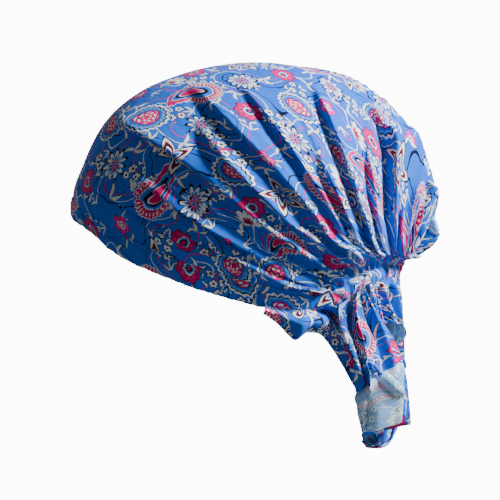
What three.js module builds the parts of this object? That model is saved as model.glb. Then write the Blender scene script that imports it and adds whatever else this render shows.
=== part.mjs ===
// A pre-sewn cotton bandana, shown in the form that it has when it is worn: a pleated crown over the
// head, a folded brow band, a ruched casing round the nape, a frill below it, a rolled sash and two
// hanging tails. Units are millimetres. +X is the wearer's left, -Y is the brow, +Z is up, and the
// origin is the inside of the top of the crown, where it sits on the head.
import * as THREE from "three";

// ---- Cloth and seams -------------------------------------------------------------------------
const CLOTH_WALL = 1.6; // crown cloth, with its drape of air
const HEM_WALL = 2.2; // brow band, three layers folded together
const CASING_WALL = 3.0; // two layers with the elastic between them
const TAIL_WALL = 1.5;
const SLOPE_STEP = 1e-3; // share of a cloth's width or length over which its slope is taken
const SEAM_GAP = 0.5; // left between neighbours that are sewn together
const HANG_GAP = 1.5; // from the casing's height down to what hangs under it
const BAND_HEIGHT = 13;
// Past this swing the band narrows, and its end edge leans back to meet the casing's.
const BAND_END = { from: 0.8, narrowing: 0.35, lean: 0.3 };
const BAND_SWELL = 0.6;
const BAND_ROWS = 2;
const CASING_HEIGHT = 8.5;

// ---- Head form: the inner face of the crown --------------------------------------------------
// Cut by the middle plane, the form has its reach from a centre between the ears. The bearing is 0
// towards the brow, 90 straight up, 180 towards the nape.
const FORM = { centreY: 2, centreZ: -85, halfWidth: 71.5, power: 2.1 };
const FORM_FIRST_BEARING = -60;
const FORM_REACH_LIMIT = 200;
const FORM_CAST_STEPS = 34;
const FORM_SLOPE_STEP = 0.4;
const FORM_OUTLINE = [
  { bearing: -60, reach: 158 },
  { bearing: -30, reach: 124 },
  { bearing: -12, reach: 105 },
  { bearing: 0, reach: 109.7 },
  { bearing: 12, reach: 105 },
  { bearing: 30, reach: 100.5 },
  { bearing: 45, reach: 94.5 },
  { bearing: 60, reach: 88.5 },
  { bearing: 75, reach: 85.4 },
  { bearing: 90, reach: 85 },
  { bearing: 105, reach: 87 },
  { bearing: 120, reach: 91.5 },
  { bearing: 135, reach: 96 },
  { bearing: 150, reach: 102 },
  { bearing: 165, reach: 107.3 },
  { bearing: 180, reach: 110.5 },
  { bearing: 190, reach: 109 },
  { bearing: 201, reach: 104 },
  { bearing: 210, reach: 113 },
  { bearing: 222, reach: 134 },
  { bearing: 245, reach: 160 },
  { bearing: 270, reach: 172 },
  { bearing: 300, reach: 158 },
];

// ---- Crown layout ----------------------------------------------------------------------------
// The cloth runs from ear to ear in strips. A strip's rank is 0 at the brow crease and 1 at the nape
// casing. Its middle lies on the form's outline and both its ends are drawn in to a gather seam.
const CREASE_BEARING = 1;
const CASING_BEARING = 201;
const GATHER_SEAM = [
  { rank: 0, y: 50, z: -139 },
  { rank: 0.12, y: 55, z: -137 },
  { rank: 0.24, y: 64, z: -131 },
  { rank: 0.36, y: 71, z: -128 },
  { rank: 0.58, y: 80, z: -125.5 },
  { rank: 0.78, y: 87, z: -124.5 },
  { rank: 1, y: 92, z: -124 },
];
// How far a strip sags (below 0) or bows (above 0) out of its plane near its ends, in degrees.
const STRIP_BOW = [
  { rank: 0, bow: -20 },
  { rank: 0.06, bow: -12 },
  { rank: 0.14, bow: -2 },
  { rank: 0.3, bow: 4 },
  { rank: 0.45, bow: 7 },
  { rank: 0.7, bow: 3 },
  { rank: 1, bow: 0 },
];
const BOW_RISE = 1.15;
const CREASE_STEP = 0.01;

// Pleats: each starts at the gather seam of one side (swing 1 is the left seam, -1 the right one)
// and runs to its far end, where it has died away. It stands up by its height, and its upper flank
// is as wide as its width.
const PLEATS = [
  { swing: 1, rank: 0.035, farSwing: 0.05, farRank: 0.03, height: 2.6, width: 5 },
  { swing: 1, rank: 0.075, farSwing: 0.1, farRank: 0.06, height: 3.4, width: 6 },
  { swing: 1, rank: 0.14, farSwing: -0.05, farRank: 0.13, height: 5.5, width: 10 },
  { swing: 1, rank: 0.225, farSwing: 0.05, farRank: 0.22, height: 8, width: 13 },
  { swing: 1, rank: 0.29, farSwing: 0.45, farRank: 0.28, height: 3.5, width: 7 },
  { swing: 1, rank: 0.355, farSwing: 0.22, farRank: 0.35, height: 6.5, width: 11 },
  { swing: 1, rank: 0.42, farSwing: 0.1, farRank: 0.405, height: 4, width: 8 },
  { swing: 1, rank: 0.51, farSwing: 0.2, farRank: 0.5, height: 5.5, width: 9 },
  { swing: 1, rank: 0.6, farSwing: 0.15, farRank: 0.61, height: 5, width: 9 },
  { swing: 1, rank: 0.7, farSwing: 0.2, farRank: 0.7, height: 4.5, width: 9 },
  { swing: 1, rank: 0.8, farSwing: 0.35, farRank: 0.79, height: 4.5, width: 8 },
  { swing: 1, rank: 0.9, farSwing: 0.05, farRank: 0.76, height: 4.5, width: 9 },
  { swing: -1, rank: 0.8, farSwing: 0.15, farRank: 0.5, height: 5, width: 10 },
  { swing: -1, rank: 0.92, farSwing: -0.1, farRank: 0.8, height: 4, width: 8 },
  { swing: 0.15, rank: 0.96, farSwing: 0.6, farRank: 0.84, height: 3.5, width: 9 },
  { swing: -0.3, rank: 0.96, farSwing: -0.35, farRank: 0.8, height: 3, width: 8 },
  { swing: -1, rank: 0.66, farSwing: -0.25, farRank: 0.58, height: 5, width: 9 },
  { swing: -1, rank: 0.52, farSwing: -0.3, farRank: 0.5, height: 5, width: 9 },
  { swing: -1, rank: 0.38, farSwing: -0.3, farRank: 0.37, height: 5.5, width: 10 },
  { swing: -1, rank: 0.24, farSwing: -0.3, farRank: 0.23, height: 6.5, width: 11 },
  { swing: -1, rank: 0.14, farSwing: -0.25, farRank: 0.13, height: 5, width: 10 },
  { swing: -1, rank: 0.06, farSwing: -0.2, farRank: 0.05, height: 3, width: 6 },
];
const PLEAT_STEPS = 14;
const UNDER_FLANK = 0.42; // a pleat's lower flank is this much of its width, so it is steeper
const PLEAT_PINCH = { width: 0.35, until: 0.45 }; // a pleat is this much narrower at the seam
const PLEAT_FADE = { in: 0.18, out: 0.55 }; // it has risen by the first share and sinks from the second
const CREASE_FADE = 0.05; // no lift at the brow crease, full lift from this rank on
const GATHER_RIBS = { count: 13, height: 2.2, from: 0.6 };
// The cloth puffs out above the gathers: over each ear about one swing, over the nape about one rank.
const EAR_PUFF = { height: 5.5, swing: 0.8, spread: 0.13, fromRank: 0.12, fullRank: 0.4 };
const EAR_PUFF_BACK = { fromRank: 0.6, fullRank: 0.95, loss: 0.4 };
const NAPE_PUFF = { height: 2.1, rank: 0.9, spread: 0.07 };
const CROWN_GRID = { across: 30, along: 52 };

// ---- Lower pieces ----------------------------------------------------------------------------
// The seam path runs from the left band end, round the nape, to the right one: 0 to 1.
const SEAM_STEPS = { side: 40, nape: 24, lengths: 400 };
const CASING_FROM = 0.004;
const CASING_GRID = { across: 52, along: 2 };
const CASING_RIBS = { count: 17, height: 0.9 };
const CASING_SWELL = 0.8;
const SKIRT = { from: 0.15, to: 0.855, across: 48, along: 5, wavesFull: 0.4 };
const SKIRT_HEM = [
  { place: 0, drop: 24, flare: 6 },
  { place: 0.12, drop: 27, flare: 7 },
  { place: 0.22, drop: 31, flare: 5 },
  { place: 0.3, drop: 55, flare: 3 },
  { place: 0.38, drop: 67, flare: 2 },
  { place: 0.5, drop: 76.5, flare: 1 },
  { place: 0.64, drop: 73, flare: 1 },
  { place: 0.82, drop: 62, flare: 1.5 },
  { place: 1, drop: 45.5, flare: 2 },
];
const SKIRT_PLEATS = [
  { count: 7, phase: 0.4, height: 1.7 },
  { count: 12, phase: 1.9, height: 1.2 },
];
// A tail's top edge is folded double under the casing. Below it, each section runs from the inner edge
// round the ridge to the back edge, and a guide gives one of the three from top to bottom.
const TAIL_TOP = { outer: 0.016, inner: 0.122, lap: 0.95, depth: 0.16 };
const LEFT_TAIL = {
  inner: [
    { place: 0, x: 52, y: 73, z: -146 },
    { place: 0.25, x: 40, y: 78, z: -164 },
    { place: 0.5, x: 29, y: 84, z: -186 },
    { place: 0.75, x: 34, y: 83, z: -206 },
    { place: 1, x: 43, y: 82, z: -221 },
  ],
  ridge: [
    { place: 0, x: 63, y: 52, z: -153 },
    { place: 0.25, x: 66, y: 60, z: -169 },
    { place: 0.5, x: 68, y: 68, z: -190 },
    { place: 0.75, x: 63, y: 70, z: -209 },
    { place: 1, x: 53, y: 73, z: -223.4 },
  ],
  back: [
    { place: 0, x: 59, y: 71, z: -146 },
    { place: 0.25, x: 54, y: 80, z: -166 },
    { place: 0.5, x: 59, y: 91, z: -187 },
    { place: 0.75, x: 54, y: 97, z: -204 },
    { place: 1, x: 46, y: 101, z: -217.5 },
  ],
};
const RIGHT_TAIL = {
  inner: [
    { place: 0, x: -57, y: 68, z: -148 },
    { place: 0.25, x: -67, y: 76, z: -168 },
    { place: 0.5, x: -74, y: 85, z: -188 },
    { place: 0.75, x: -79, y: 90, z: -205 },
    { place: 1, x: -82, y: 92, z: -215 },
  ],
  ridge: [
    { place: 0, x: -63, y: 62, z: -151 },
    { place: 0.25, x: -77, y: 70, z: -169 },
    { place: 0.5, x: -85, y: 78, z: -188 },
    { place: 0.75, x: -90, y: 82, z: -205 },
    { place: 1, x: -95, y: 84, z: -213 },
  ],
  back: [
    { place: 0, x: -66, y: 54, z: -153 },
    { place: 0.25, x: -83, y: 61, z: -168 },
    { place: 0.5, x: -92, y: 69, z: -185 },
    { place: 0.75, x: -99, y: 72, z: -198 },
    { place: 1, x: -107, y: 74, z: -204 },
  ],
};
const TAIL_GRID = { across: 9, along: 12 };
// A flap's top edge lies under the brow band. Each row is a point of its free edge.
const FLAP = { from: 0.7, to: 1, lean: 9, stand: 5.5, gap: 1 };
const FLAP_FOLDS = { count: 2.5, height: 1.6 };
const FLAP_GRID = { across: 11, along: 5 };
const FLAP_EDGE = [
  { place: 0, x: 71, y: 12, z: -151.5 },
  { place: 0.2, x: 72, y: 20, z: -157.5 },
  { place: 0.4, x: 72.5, y: 30, z: -166.5 },
  { place: 0.56, x: 70, y: 38, z: -163 },
  { place: 0.72, x: 70, y: 48, z: -167.5 },
  { place: 0.86, x: 72.5, y: 59, z: -184 },
  { place: 1, x: 73.5, y: 69, z: -201 },
];
// The sash from the left tail's corner up to the frill's right side, with its half height.
const SASH_LINE = [
  { place: 0, x: 48, y: 77, z: -231.5, roll: 8.5 },
  { place: 0.14, x: 39, y: 86, z: -231, roll: 8 },
  { place: 0.28, x: 24, y: 90, z: -227.5, roll: 7.5 },
  { place: 0.43, x: 6, y: 94, z: -222.5, roll: 7.5 },
  { place: 0.57, x: -14, y: 95, z: -218.5, roll: 7.5 },
  { place: 0.72, x: -32, y: 93, z: -210.5, roll: 6.5 },
  { place: 0.86, x: -48, y: 85, z: -200, roll: 5 },
  { place: 1, x: -60, y: 73, z: -191, roll: 3 },
];
const SASH = { steps: 28, sides: 8, twist: 2.5, flat: 0.62 };

// ---- Finishes --------------------------------------------------------------------------------
const ROYAL_BLUE = new THREE.MeshStandardMaterial({ color: 0x1e5ac8, roughness: 0.72, metalness: 0 });
const SHADE_BLUE = new THREE.MeshStandardMaterial({ color: 0x1a48a6, roughness: 0.75, metalness: 0 });

// ---- Table and number helpers ----------------------------------------------------------------
const radians = THREE.MathUtils.degToRad;
const easeBetween = (low, high, value) => THREE.MathUtils.smoothstep(value, low, high);

// Reads one column of a table between its rows, on a smooth curve through them.
function readTable(rows, key, column, at) {
  const last = rows.length - 1;
  const place = THREE.MathUtils.clamp(at, rows[0][key], rows[last][key]);
  let row = 0;
  while (row < last - 1 && place > rows[row + 1][key]) row += 1;
  const slope = (index) => {
    const before = rows[Math.max(index - 1, 0)];
    const after = rows[Math.min(index + 1, last)];
    return (after[column] - before[column]) / (after[key] - before[key]);
  };
  const span = rows[row + 1][key] - rows[row][key];
  const share = (place - rows[row][key]) / span;
  const near = rows[row][column];
  const far = rows[row + 1][column];
  const bend = share * share * (3 - 2 * share);
  const pull = span * share * (1 - share);
  return near + (far - near) * bend + pull * (slope(row) * (1 - share) - slope(row + 1) * share);
}

// Reads a point from the x, y and z columns of a table keyed by place.
function readPoint(rows, place) {
  return new THREE.Vector3(
    readTable(rows, "place", "x", place),
    readTable(rows, "place", "y", place),
    readTable(rows, "place", "z", place),
  );
}

// ---- Head form -------------------------------------------------------------------------------
// Below 0 inside the form, 0 on it.
function formValue(point) {
  const ahead = FORM.centreY - point.y;
  const above = point.z - FORM.centreZ;
  let bearing = THREE.MathUtils.radToDeg(Math.atan2(above, ahead));
  if (bearing < FORM_FIRST_BEARING) bearing += 360;
  const share = Math.hypot(ahead, above) / readTable(FORM_OUTLINE, "bearing", "reach", bearing);
  return share ** FORM.power + Math.abs(point.x / FORM.halfWidth) ** FORM.power - 1;
}

// The point of the form that a ray from inside it meets.
function castToForm(origin, direction) {
  let near = 0;
  let far = FORM_REACH_LIMIT;
  for (let step = 0; step < FORM_CAST_STEPS; step += 1) {
    const middle = (near + far) / 2;
    const inside = formValue(origin.clone().addScaledVector(direction, middle)) < 0;
    if (inside) near = middle;
    else far = middle;
  }
  return origin.clone().addScaledVector(direction, near);
}

function formNormal(point) {
  const slopeAlong = (axis) => {
    const ahead = point.clone().addScaledVector(axis, FORM_SLOPE_STEP);
    const behind = point.clone().addScaledVector(axis, -FORM_SLOPE_STEP);
    return formValue(ahead) - formValue(behind);
  };
  return new THREE.Vector3(
    slopeAlong(new THREE.Vector3(1, 0, 0)),
    slopeAlong(new THREE.Vector3(0, 1, 0)),
    slopeAlong(new THREE.Vector3(0, 0, 1)),
  ).normalize();
}

// ---- Crown surface ---------------------------------------------------------------------------
function outlinePoint(rank) {
  const bearing = THREE.MathUtils.lerp(CREASE_BEARING, CASING_BEARING, rank);
  const reach = readTable(FORM_OUTLINE, "bearing", "reach", bearing);
  return {
    y: FORM.centreY - reach * Math.cos(radians(bearing)),
    z: FORM.centreZ + reach * Math.sin(radians(bearing)),
  };
}

// A point of the unpleated crown. Swing runs from -1 at the right gather to 1 at the left one.
function crownForm(swing, rank) {
  const y = readTable(GATHER_SEAM, "rank", "y", rank);
  const z = readTable(GATHER_SEAM, "rank", "z", rank);
  const crest = outlinePoint(rank);
  const bow = radians(readTable(STRIP_BOW, "rank", "bow", rank)) * Math.abs(swing) ** BOW_RISE;
  const climb = Math.atan2(crest.z - z, y - crest.y) + bow;
  const turn = (swing * Math.PI) / 2;
  const ray = new THREE.Vector3(
    Math.sin(turn),
    -Math.cos(turn) * Math.cos(climb),
    Math.cos(turn) * Math.sin(climb),
  );
  return castToForm(new THREE.Vector3(0, y, z), ray);
}

// Each pleat as a line of points on the unpleated crown.
const PLEAT_LINES = PLEATS.map((pleat) => {
  const line = [];
  for (let step = 0; step <= PLEAT_STEPS; step += 1) {
    const share = step / PLEAT_STEPS;
    const swing = THREE.MathUtils.lerp(pleat.swing, pleat.farSwing, share);
    const rank = THREE.MathUtils.lerp(pleat.rank, pleat.farRank, share);
    line.push({ share, swing, rank, point: crownForm(swing, rank) });
  }
  return { ...pleat, line };
});

// How high one pleat lifts the cloth at a point of the crown.
function pleatLift(pleat, point, rank) {
  let best = { gap: Infinity, share: 0, rank: 0 };
  const chord = new THREE.Line3();
  const foot = new THREE.Vector3();
  for (let step = 0; step < PLEAT_STEPS; step += 1) {
    const start = pleat.line[step];
    const end = pleat.line[step + 1];
    chord.set(start.point, end.point);
    const along = chord.closestPointToPointParameter(point, true);
    const gap = chord.at(along, foot).distanceTo(point);
    if (gap >= best.gap) continue;
    best = {
      gap,
      share: THREE.MathUtils.lerp(start.share, end.share, along),
      rank: THREE.MathUtils.lerp(start.rank, end.rank, along),
    };
  }
  const opening = easeBetween(0, PLEAT_PINCH.until, best.share);
  const narrowing = THREE.MathUtils.lerp(PLEAT_PINCH.width, 1, opening);
  const flank = pleat.width * narrowing * (rank < best.rank ? UNDER_FLANK : 1);
  const sinking = easeBetween(PLEAT_FADE.out, 1, best.share);
  const rise = easeBetween(0, PLEAT_FADE.in, best.share) * (1 - sinking);
  return pleat.height * rise * Math.exp(-((best.gap / flank) ** 2));
}

function puffLift(swing, rank) {
  const begun = easeBetween(EAR_PUFF.fromRank, EAR_PUFF.fullRank, rank);
  const behind = easeBetween(EAR_PUFF_BACK.fromRank, EAR_PUFF_BACK.fullRank, rank);
  const share = begun * (1 - EAR_PUFF_BACK.loss * behind);
  const overEar = share * Math.exp(-(((Math.abs(swing) - EAR_PUFF.swing) / EAR_PUFF.spread) ** 2));
  const overNape = Math.exp(-(((rank - NAPE_PUFF.rank) / NAPE_PUFF.spread) ** 2));
  return Math.max(EAR_PUFF.height * overEar, NAPE_PUFF.height * overNape);
}

// How far the cloth stands off the form: pleats, ribs drawn in to the gathers, and the puff above them.
function crownLift(point, swing, rank) {
  const edge = easeBetween(0, CREASE_FADE, rank);
  const pleats = PLEAT_LINES.reduce((sum, pleat) => sum + pleatLift(pleat, point, rank), 0);
  const ribShare = easeBetween(GATHER_RIBS.from, 1, Math.abs(swing));
  const ribs = GATHER_RIBS.height * ribShare * Math.sin(Math.PI * GATHER_RIBS.count * rank) ** 2;
  return edge * (pleats + ribs) + puffLift(swing, rank);
}

// ---- Shells ----------------------------------------------------------------------------------
// A closed wall between two grids of points, which share their rim.
function wallGeometry(across, along, faceAt) {
  const inner = [];
  const outer = [];
  for (let row = 0; row <= along; row += 1) {
    for (let column = 0; column <= across; column += 1) {
      const face = faceAt(column / across, row / along);
      inner.push(face.inner);
      outer.push(face.outer);
    }
  }
  const stride = across + 1;
  const shift = inner.length;
  const triangles = [];
  const quad = (a, b, c, d) => triangles.push(a, b, c, a, c, d);
  for (let row = 0; row < along; row += 1) {
    for (let column = 0; column < across; column += 1) {
      const corner = row * stride + column;
      quad(corner, corner + 1, corner + stride + 1, corner + stride);
      quad(shift + corner, shift + corner + stride, shift + corner + stride + 1, shift + corner + 1);
    }
  }
  for (let column = 0; column < across; column += 1) {
    const far = along * stride + column;
    quad(shift + column, shift + column + 1, column + 1, column);
    quad(far, far + 1, shift + far + 1, shift + far);
  }
  for (let row = 0; row < along; row += 1) {
    const near = row * stride;
    const far = near + across;
    quad(near, near + stride, shift + near + stride, shift + near);
    quad(shift + far, shift + far + stride, far + stride, far);
  }
  return closedGeometry([...inner, ...outer], triangles);
}

// Makes the faces point outwards, whichever way the grids ran.
function closedGeometry(points, triangles) {
  let volume = 0;
  for (let index = 0; index < triangles.length; index += 3) {
    const [a, b, c] = triangles.slice(index, index + 3).map((corner) => points[corner]);
    volume += a.dot(b.clone().cross(c));
  }
  const geometry = new THREE.BufferGeometry().setFromPoints(points);
  geometry.setIndex(volume < 0 ? triangles.reverse() : triangles);
  geometry.computeVertexNormals();
  return geometry;
}

// A cloth wall about a middle surface, half its thickness to each side.
function clothGeometry(across, along, surface, wall) {
  const acrossEdgeAt = (u, v) =>
    surface(Math.min(u + SLOPE_STEP, 1), v).sub(surface(Math.max(u - SLOPE_STEP, 0), v));
  const alongEdgeAt = (u, v) =>
    surface(u, Math.min(v + SLOPE_STEP, 1)).sub(surface(u, Math.max(v - SLOPE_STEP, 0)));
  return wallGeometry(across, along, (u, v) => {
    const middle = surface(u, v);
    const normal = acrossEdgeAt(u, v).cross(alongEdgeAt(u, v)).normalize();
    return {
      inner: middle.clone().addScaledVector(normal, -wall / 2),
      outer: middle.clone().addScaledVector(normal, wall / 2),
    };
  });
}

function named(name, geometry, material) {
  const mesh = new THREE.Mesh(geometry, material);
  mesh.name = name;
  return mesh;
}

// ---- Pieces ----------------------------------------------------------------------------------
function makeCrown() {
  const geometry = wallGeometry(CROWN_GRID.across, CROWN_GRID.along, (u, v) => {
    const swing = 2 * u - 1;
    const point = crownForm(swing, v);
    const normal = formNormal(point);
    const lift = crownLift(point, swing, v);
    return {
      inner: point.clone().addScaledVector(normal, lift),
      outer: point.clone().addScaledVector(normal, lift + CLOTH_WALL),
    };
  });
  return named("crown", geometry, ROYAL_BLUE);
}

// A frame on the crown's front edge: a point, the normal and the way down the cloth.
function creaseFrame(swing) {
  const point = crownForm(swing, 0);
  const ahead = crownForm(Math.min(swing + CREASE_STEP, 1), 0);
  const behind = crownForm(Math.max(swing - CREASE_STEP, -1), 0);
  const normal = formNormal(point);
  const down = ahead.sub(behind).cross(normal).normalize();
  if (down.z > 0) down.negate();
  down.lerp(new THREE.Vector3(0, BAND_END.lean, -1), bandEndShare(swing)).normalize();
  return { point, normal, down };
}

function bandEndShare(swing) {
  return easeBetween(BAND_END.from, 1, Math.abs(swing));
}

function bandHeight(swing) {
  return BAND_HEIGHT * (1 - BAND_END.narrowing * bandEndShare(swing));
}

function makeFrontBand() {
  const geometry = wallGeometry(CROWN_GRID.across, BAND_ROWS, (u, v) => {
    const swing = 2 * u - 1;
    const { point, normal, down } = creaseFrame(swing);
    const base = point.addScaledVector(down, SEAM_GAP + v * bandHeight(swing));
    const swell = BAND_SWELL * Math.sin(Math.PI * v);
    return {
      inner: base.clone(),
      outer: base.clone().addScaledVector(normal, HEM_WALL + swell),
    };
  });
  return named("front_band", geometry, ROYAL_BLUE);
}

// The seam path: down the left gather seam, round the nape and up the right one.
function seamPath() {
  const { side, nape, lengths } = SEAM_STEPS;
  const points = [];
  for (let step = 0; step <= side; step += 1) points.push(crownForm(1, step / side));
  for (let step = 1; step < nape; step += 1) points.push(crownForm(1 - (2 * step) / nape, 1));
  for (let step = side; step >= 0; step -= 1) points.push(crownForm(-1, step / side));
  const path = new THREE.CatmullRomCurve3(points, false, "centripetal");
  path.arcLengthDivisions = lengths;
  return path;
}

const SEAM_PATH = seamPath();

function seamFrame(place) {
  const point = SEAM_PATH.getPointAt(place);
  const tangent = SEAM_PATH.getTangentAt(place);
  const normal = formNormal(point);
  const down = tangent.clone().cross(normal).normalize();
  if (down.z > 0) down.negate();
  const outward = new THREE.Vector3(normal.x, normal.y, 0).normalize();
  return { point, normal, down, outward };
}

function makeNapeElastic() {
  const geometry = wallGeometry(CASING_GRID.across, CASING_GRID.along, (u, v) => {
    const place = THREE.MathUtils.lerp(CASING_FROM, 1 - CASING_FROM, u);
    const { point, normal, down } = seamFrame(place);
    const rib = CASING_RIBS.height * Math.sin(Math.PI * CASING_RIBS.count * place) ** 2;
    const base = point.addScaledVector(down, SEAM_GAP + v * CASING_HEIGHT);
    const swell = Math.sin(Math.PI * v);
    return {
      inner: base.clone(),
      outer: base.clone().addScaledVector(normal, CASING_WALL + (rib + CASING_SWELL) * swell),
    };
  });
  return named("nape_elastic", geometry, SHADE_BLUE);
}

function skirtPoint(u, v) {
  const place = THREE.MathUtils.lerp(SKIRT.from, SKIRT.to, u);
  const { point, normal, down, outward } = seamFrame(place);
  const drop = readTable(SKIRT_HEM, "place", "drop", u);
  const flare = readTable(SKIRT_HEM, "place", "flare", u);
  const waves = SKIRT_PLEATS.reduce(
    (sum, pleat) => sum + pleat.height * Math.sin(2 * Math.PI * pleat.count * u + pleat.phase),
    0,
  );
  return point
    .addScaledVector(down, CASING_HEIGHT + HANG_GAP)
    .addScaledVector(normal, CASING_WALL / 2)
    .addScaledVector(outward, flare * v + waves * easeBetween(0, SKIRT.wavesFull, v))
    .add(new THREE.Vector3(0, 0, -drop * v));
}

function makeNapeSkirt() {
  const geometry = clothGeometry(SKIRT.across, SKIRT.along, skirtPoint, TAIL_WALL);
  return named("nape_skirt", geometry, ROYAL_BLUE);
}

// A hanging tail: its top edge runs forward under the casing and back again outside itself, and its
// sections then open into a V. Side is 1 on the left and -1 on the right.
function tailSurface(guides, side) {
  return (u, v) => {
    const inner = readPoint(guides.inner, v);
    const ridge = readPoint(guides.ridge, v);
    const back = readPoint(guides.back, v);
    const edgesMiddle = inner.clone().lerp(back, 0.5);
    const pull = ridge.multiplyScalar(2).sub(edgesMiddle); // the curve passes through the ridge
    const hung = new THREE.QuadraticBezierCurve3(inner, pull, back).getPoint(u);
    const forward = 1 - Math.abs(2 * u - 1);
    const place = THREE.MathUtils.lerp(TAIL_TOP.inner, TAIL_TOP.outer, forward);
    const { point, normal, down } = seamFrame(side > 0 ? place : 1 - place);
    const sewn = point
      .addScaledVector(down, CASING_HEIGHT + HANG_GAP)
      .addScaledVector(normal, TAIL_WALL / 2 + 2 * TAIL_TOP.lap * u);
    return sewn.lerp(hung, easeBetween(0, TAIL_TOP.depth, v));
  };
}

function makeTail(name, guides, side) {
  const surface = tailSurface(guides, side);
  const geometry = clothGeometry(TAIL_GRID.across, TAIL_GRID.along, surface, TAIL_WALL);
  return named(name, geometry, ROYAL_BLUE);
}

// The loose corner under the band, in front of a gather. Side is 1 on the left and -1 on the right.
function makeFlap(name, side) {
  const surface = (u, v) => {
    const swing = THREE.MathUtils.lerp(FLAP.from, FLAP.to, u);
    const { point, normal, down } = creaseFrame(swing);
    const sewn = point
      .addScaledVector(down, bandHeight(swing) + SEAM_GAP + FLAP.gap)
      .addScaledVector(normal, HEM_WALL / 2);
    const corner = sewn.lerp(readPoint(FLAP_EDGE, u), v);
    corner.x += FLAP_FOLDS.height * Math.sin(2 * Math.PI * FLAP_FOLDS.count * u) * v;
    corner.x += FLAP.stand * Math.sin(Math.PI * v) ** 2;
    corner.y += FLAP.lean * u * Math.sin(Math.PI * v);
    return corner.setX(corner.x * side);
  };
  const geometry = clothGeometry(FLAP_GRID.across, FLAP_GRID.along, surface, TAIL_WALL);
  return named(name, geometry, ROYAL_BLUE);
}

// A soft roll of cloth, flattened and slowly twisted along its line.
function makeNapeSash() {
  const line = new THREE.CatmullRomCurve3(SASH_LINE.map((row) => readPoint(SASH_LINE, row.place)));
  const frames = line.computeFrenetFrames(SASH.steps, false);
  const points = [];
  const triangles = [];
  for (let step = 0; step <= SASH.steps; step += 1) {
    const place = step / SASH.steps;
    const centre = line.getPointAt(place);
    const radius = readTable(SASH_LINE, "place", "roll", place);
    for (let side = 0; side < SASH.sides; side += 1) {
      const angle = (2 * Math.PI * side) / SASH.sides;
      const wide = radius * Math.cos(angle);
      const thin = radius * SASH.flat * Math.sin(angle);
      const twist = Math.PI * SASH.twist * place;
      const first = wide * Math.cos(twist) - thin * Math.sin(twist);
      const second = wide * Math.sin(twist) + thin * Math.cos(twist);
      const corner = centre.clone().addScaledVector(frames.normals[step], first);
      points.push(corner.addScaledVector(frames.binormals[step], second));
    }
  }
  for (let step = 0; step < SASH.steps; step += 1) {
    for (let side = 0; side < SASH.sides; side += 1) {
      const next = (side + 1) % SASH.sides;
      const low = step * SASH.sides;
      const high = low + SASH.sides;
      triangles.push(low + side, low + next, high + next, low + side, high + next, high + side);
    }
  }
  const ends = [0, SASH.steps].map((step) => points.push(line.getPointAt(step / SASH.steps)) - 1);
  const lastRing = SASH.steps * SASH.sides;
  for (let side = 0; side < SASH.sides; side += 1) {
    const next = (side + 1) % SASH.sides;
    triangles.push(ends[0], next, side, ends[1], lastRing + side, lastRing + next);
  }
  return named("nape_sash", closedGeometry(points, triangles), SHADE_BLUE);
}

const bandana = new THREE.Group();
bandana.add(
  makeCrown(),
  makeFrontBand(),
  makeNapeElastic(),
  makeNapeSkirt(),
  makeNapeSash(),
  makeTail("left_tail", LEFT_TAIL, 1),
  makeTail("right_tail", RIGHT_TAIL, -1),
  makeFlap("left_flap", 1),
  makeFlap("right_flap", -1),
);

export default bandana;
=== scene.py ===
"""Looks of a pre-tied cotton bandana in its worn form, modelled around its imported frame.

The cloth's sizes are in millimetres, as its maker would give them, and the meshes are written in
metres. +X is the wearer's left, -Y is the brow and +Z is up. A place on the crown has a swing, from
-1 at the right gather to 1 at the left one, and a rank, from 0 at the brow to 1 at the nape.
"""

import logging
import math
from dataclasses import dataclass
from enum import Enum
from functools import partialmethod
from typing import ClassVar

import bmesh
import bpy
import numpy as np
from mathutils import Matrix, Vector


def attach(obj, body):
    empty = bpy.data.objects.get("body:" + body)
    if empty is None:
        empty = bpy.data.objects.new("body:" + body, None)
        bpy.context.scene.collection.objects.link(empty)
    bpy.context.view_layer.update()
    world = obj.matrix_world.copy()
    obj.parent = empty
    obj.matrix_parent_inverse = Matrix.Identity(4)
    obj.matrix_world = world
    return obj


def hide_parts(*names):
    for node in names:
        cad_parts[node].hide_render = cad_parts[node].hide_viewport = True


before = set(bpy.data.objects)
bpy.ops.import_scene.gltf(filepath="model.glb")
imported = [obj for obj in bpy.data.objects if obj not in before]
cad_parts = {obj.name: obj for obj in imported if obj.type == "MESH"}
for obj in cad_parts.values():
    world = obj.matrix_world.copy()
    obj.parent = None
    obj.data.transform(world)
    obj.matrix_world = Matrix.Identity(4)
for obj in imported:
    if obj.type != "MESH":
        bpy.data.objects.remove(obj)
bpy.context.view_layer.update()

LOG = logging.getLogger("bandana")
MM = 0.001
BODY = "root"
Grid = np.ndarray  # numbers over a cloth's rows and columns, or points with a last axis of three
Socket = bpy.types.NodeSocket
Colour = tuple[float, float, float, float]
PRINT_PLACE = "print_place"  # the UV map of each point's place on the printed cloth, in millimetres


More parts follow.
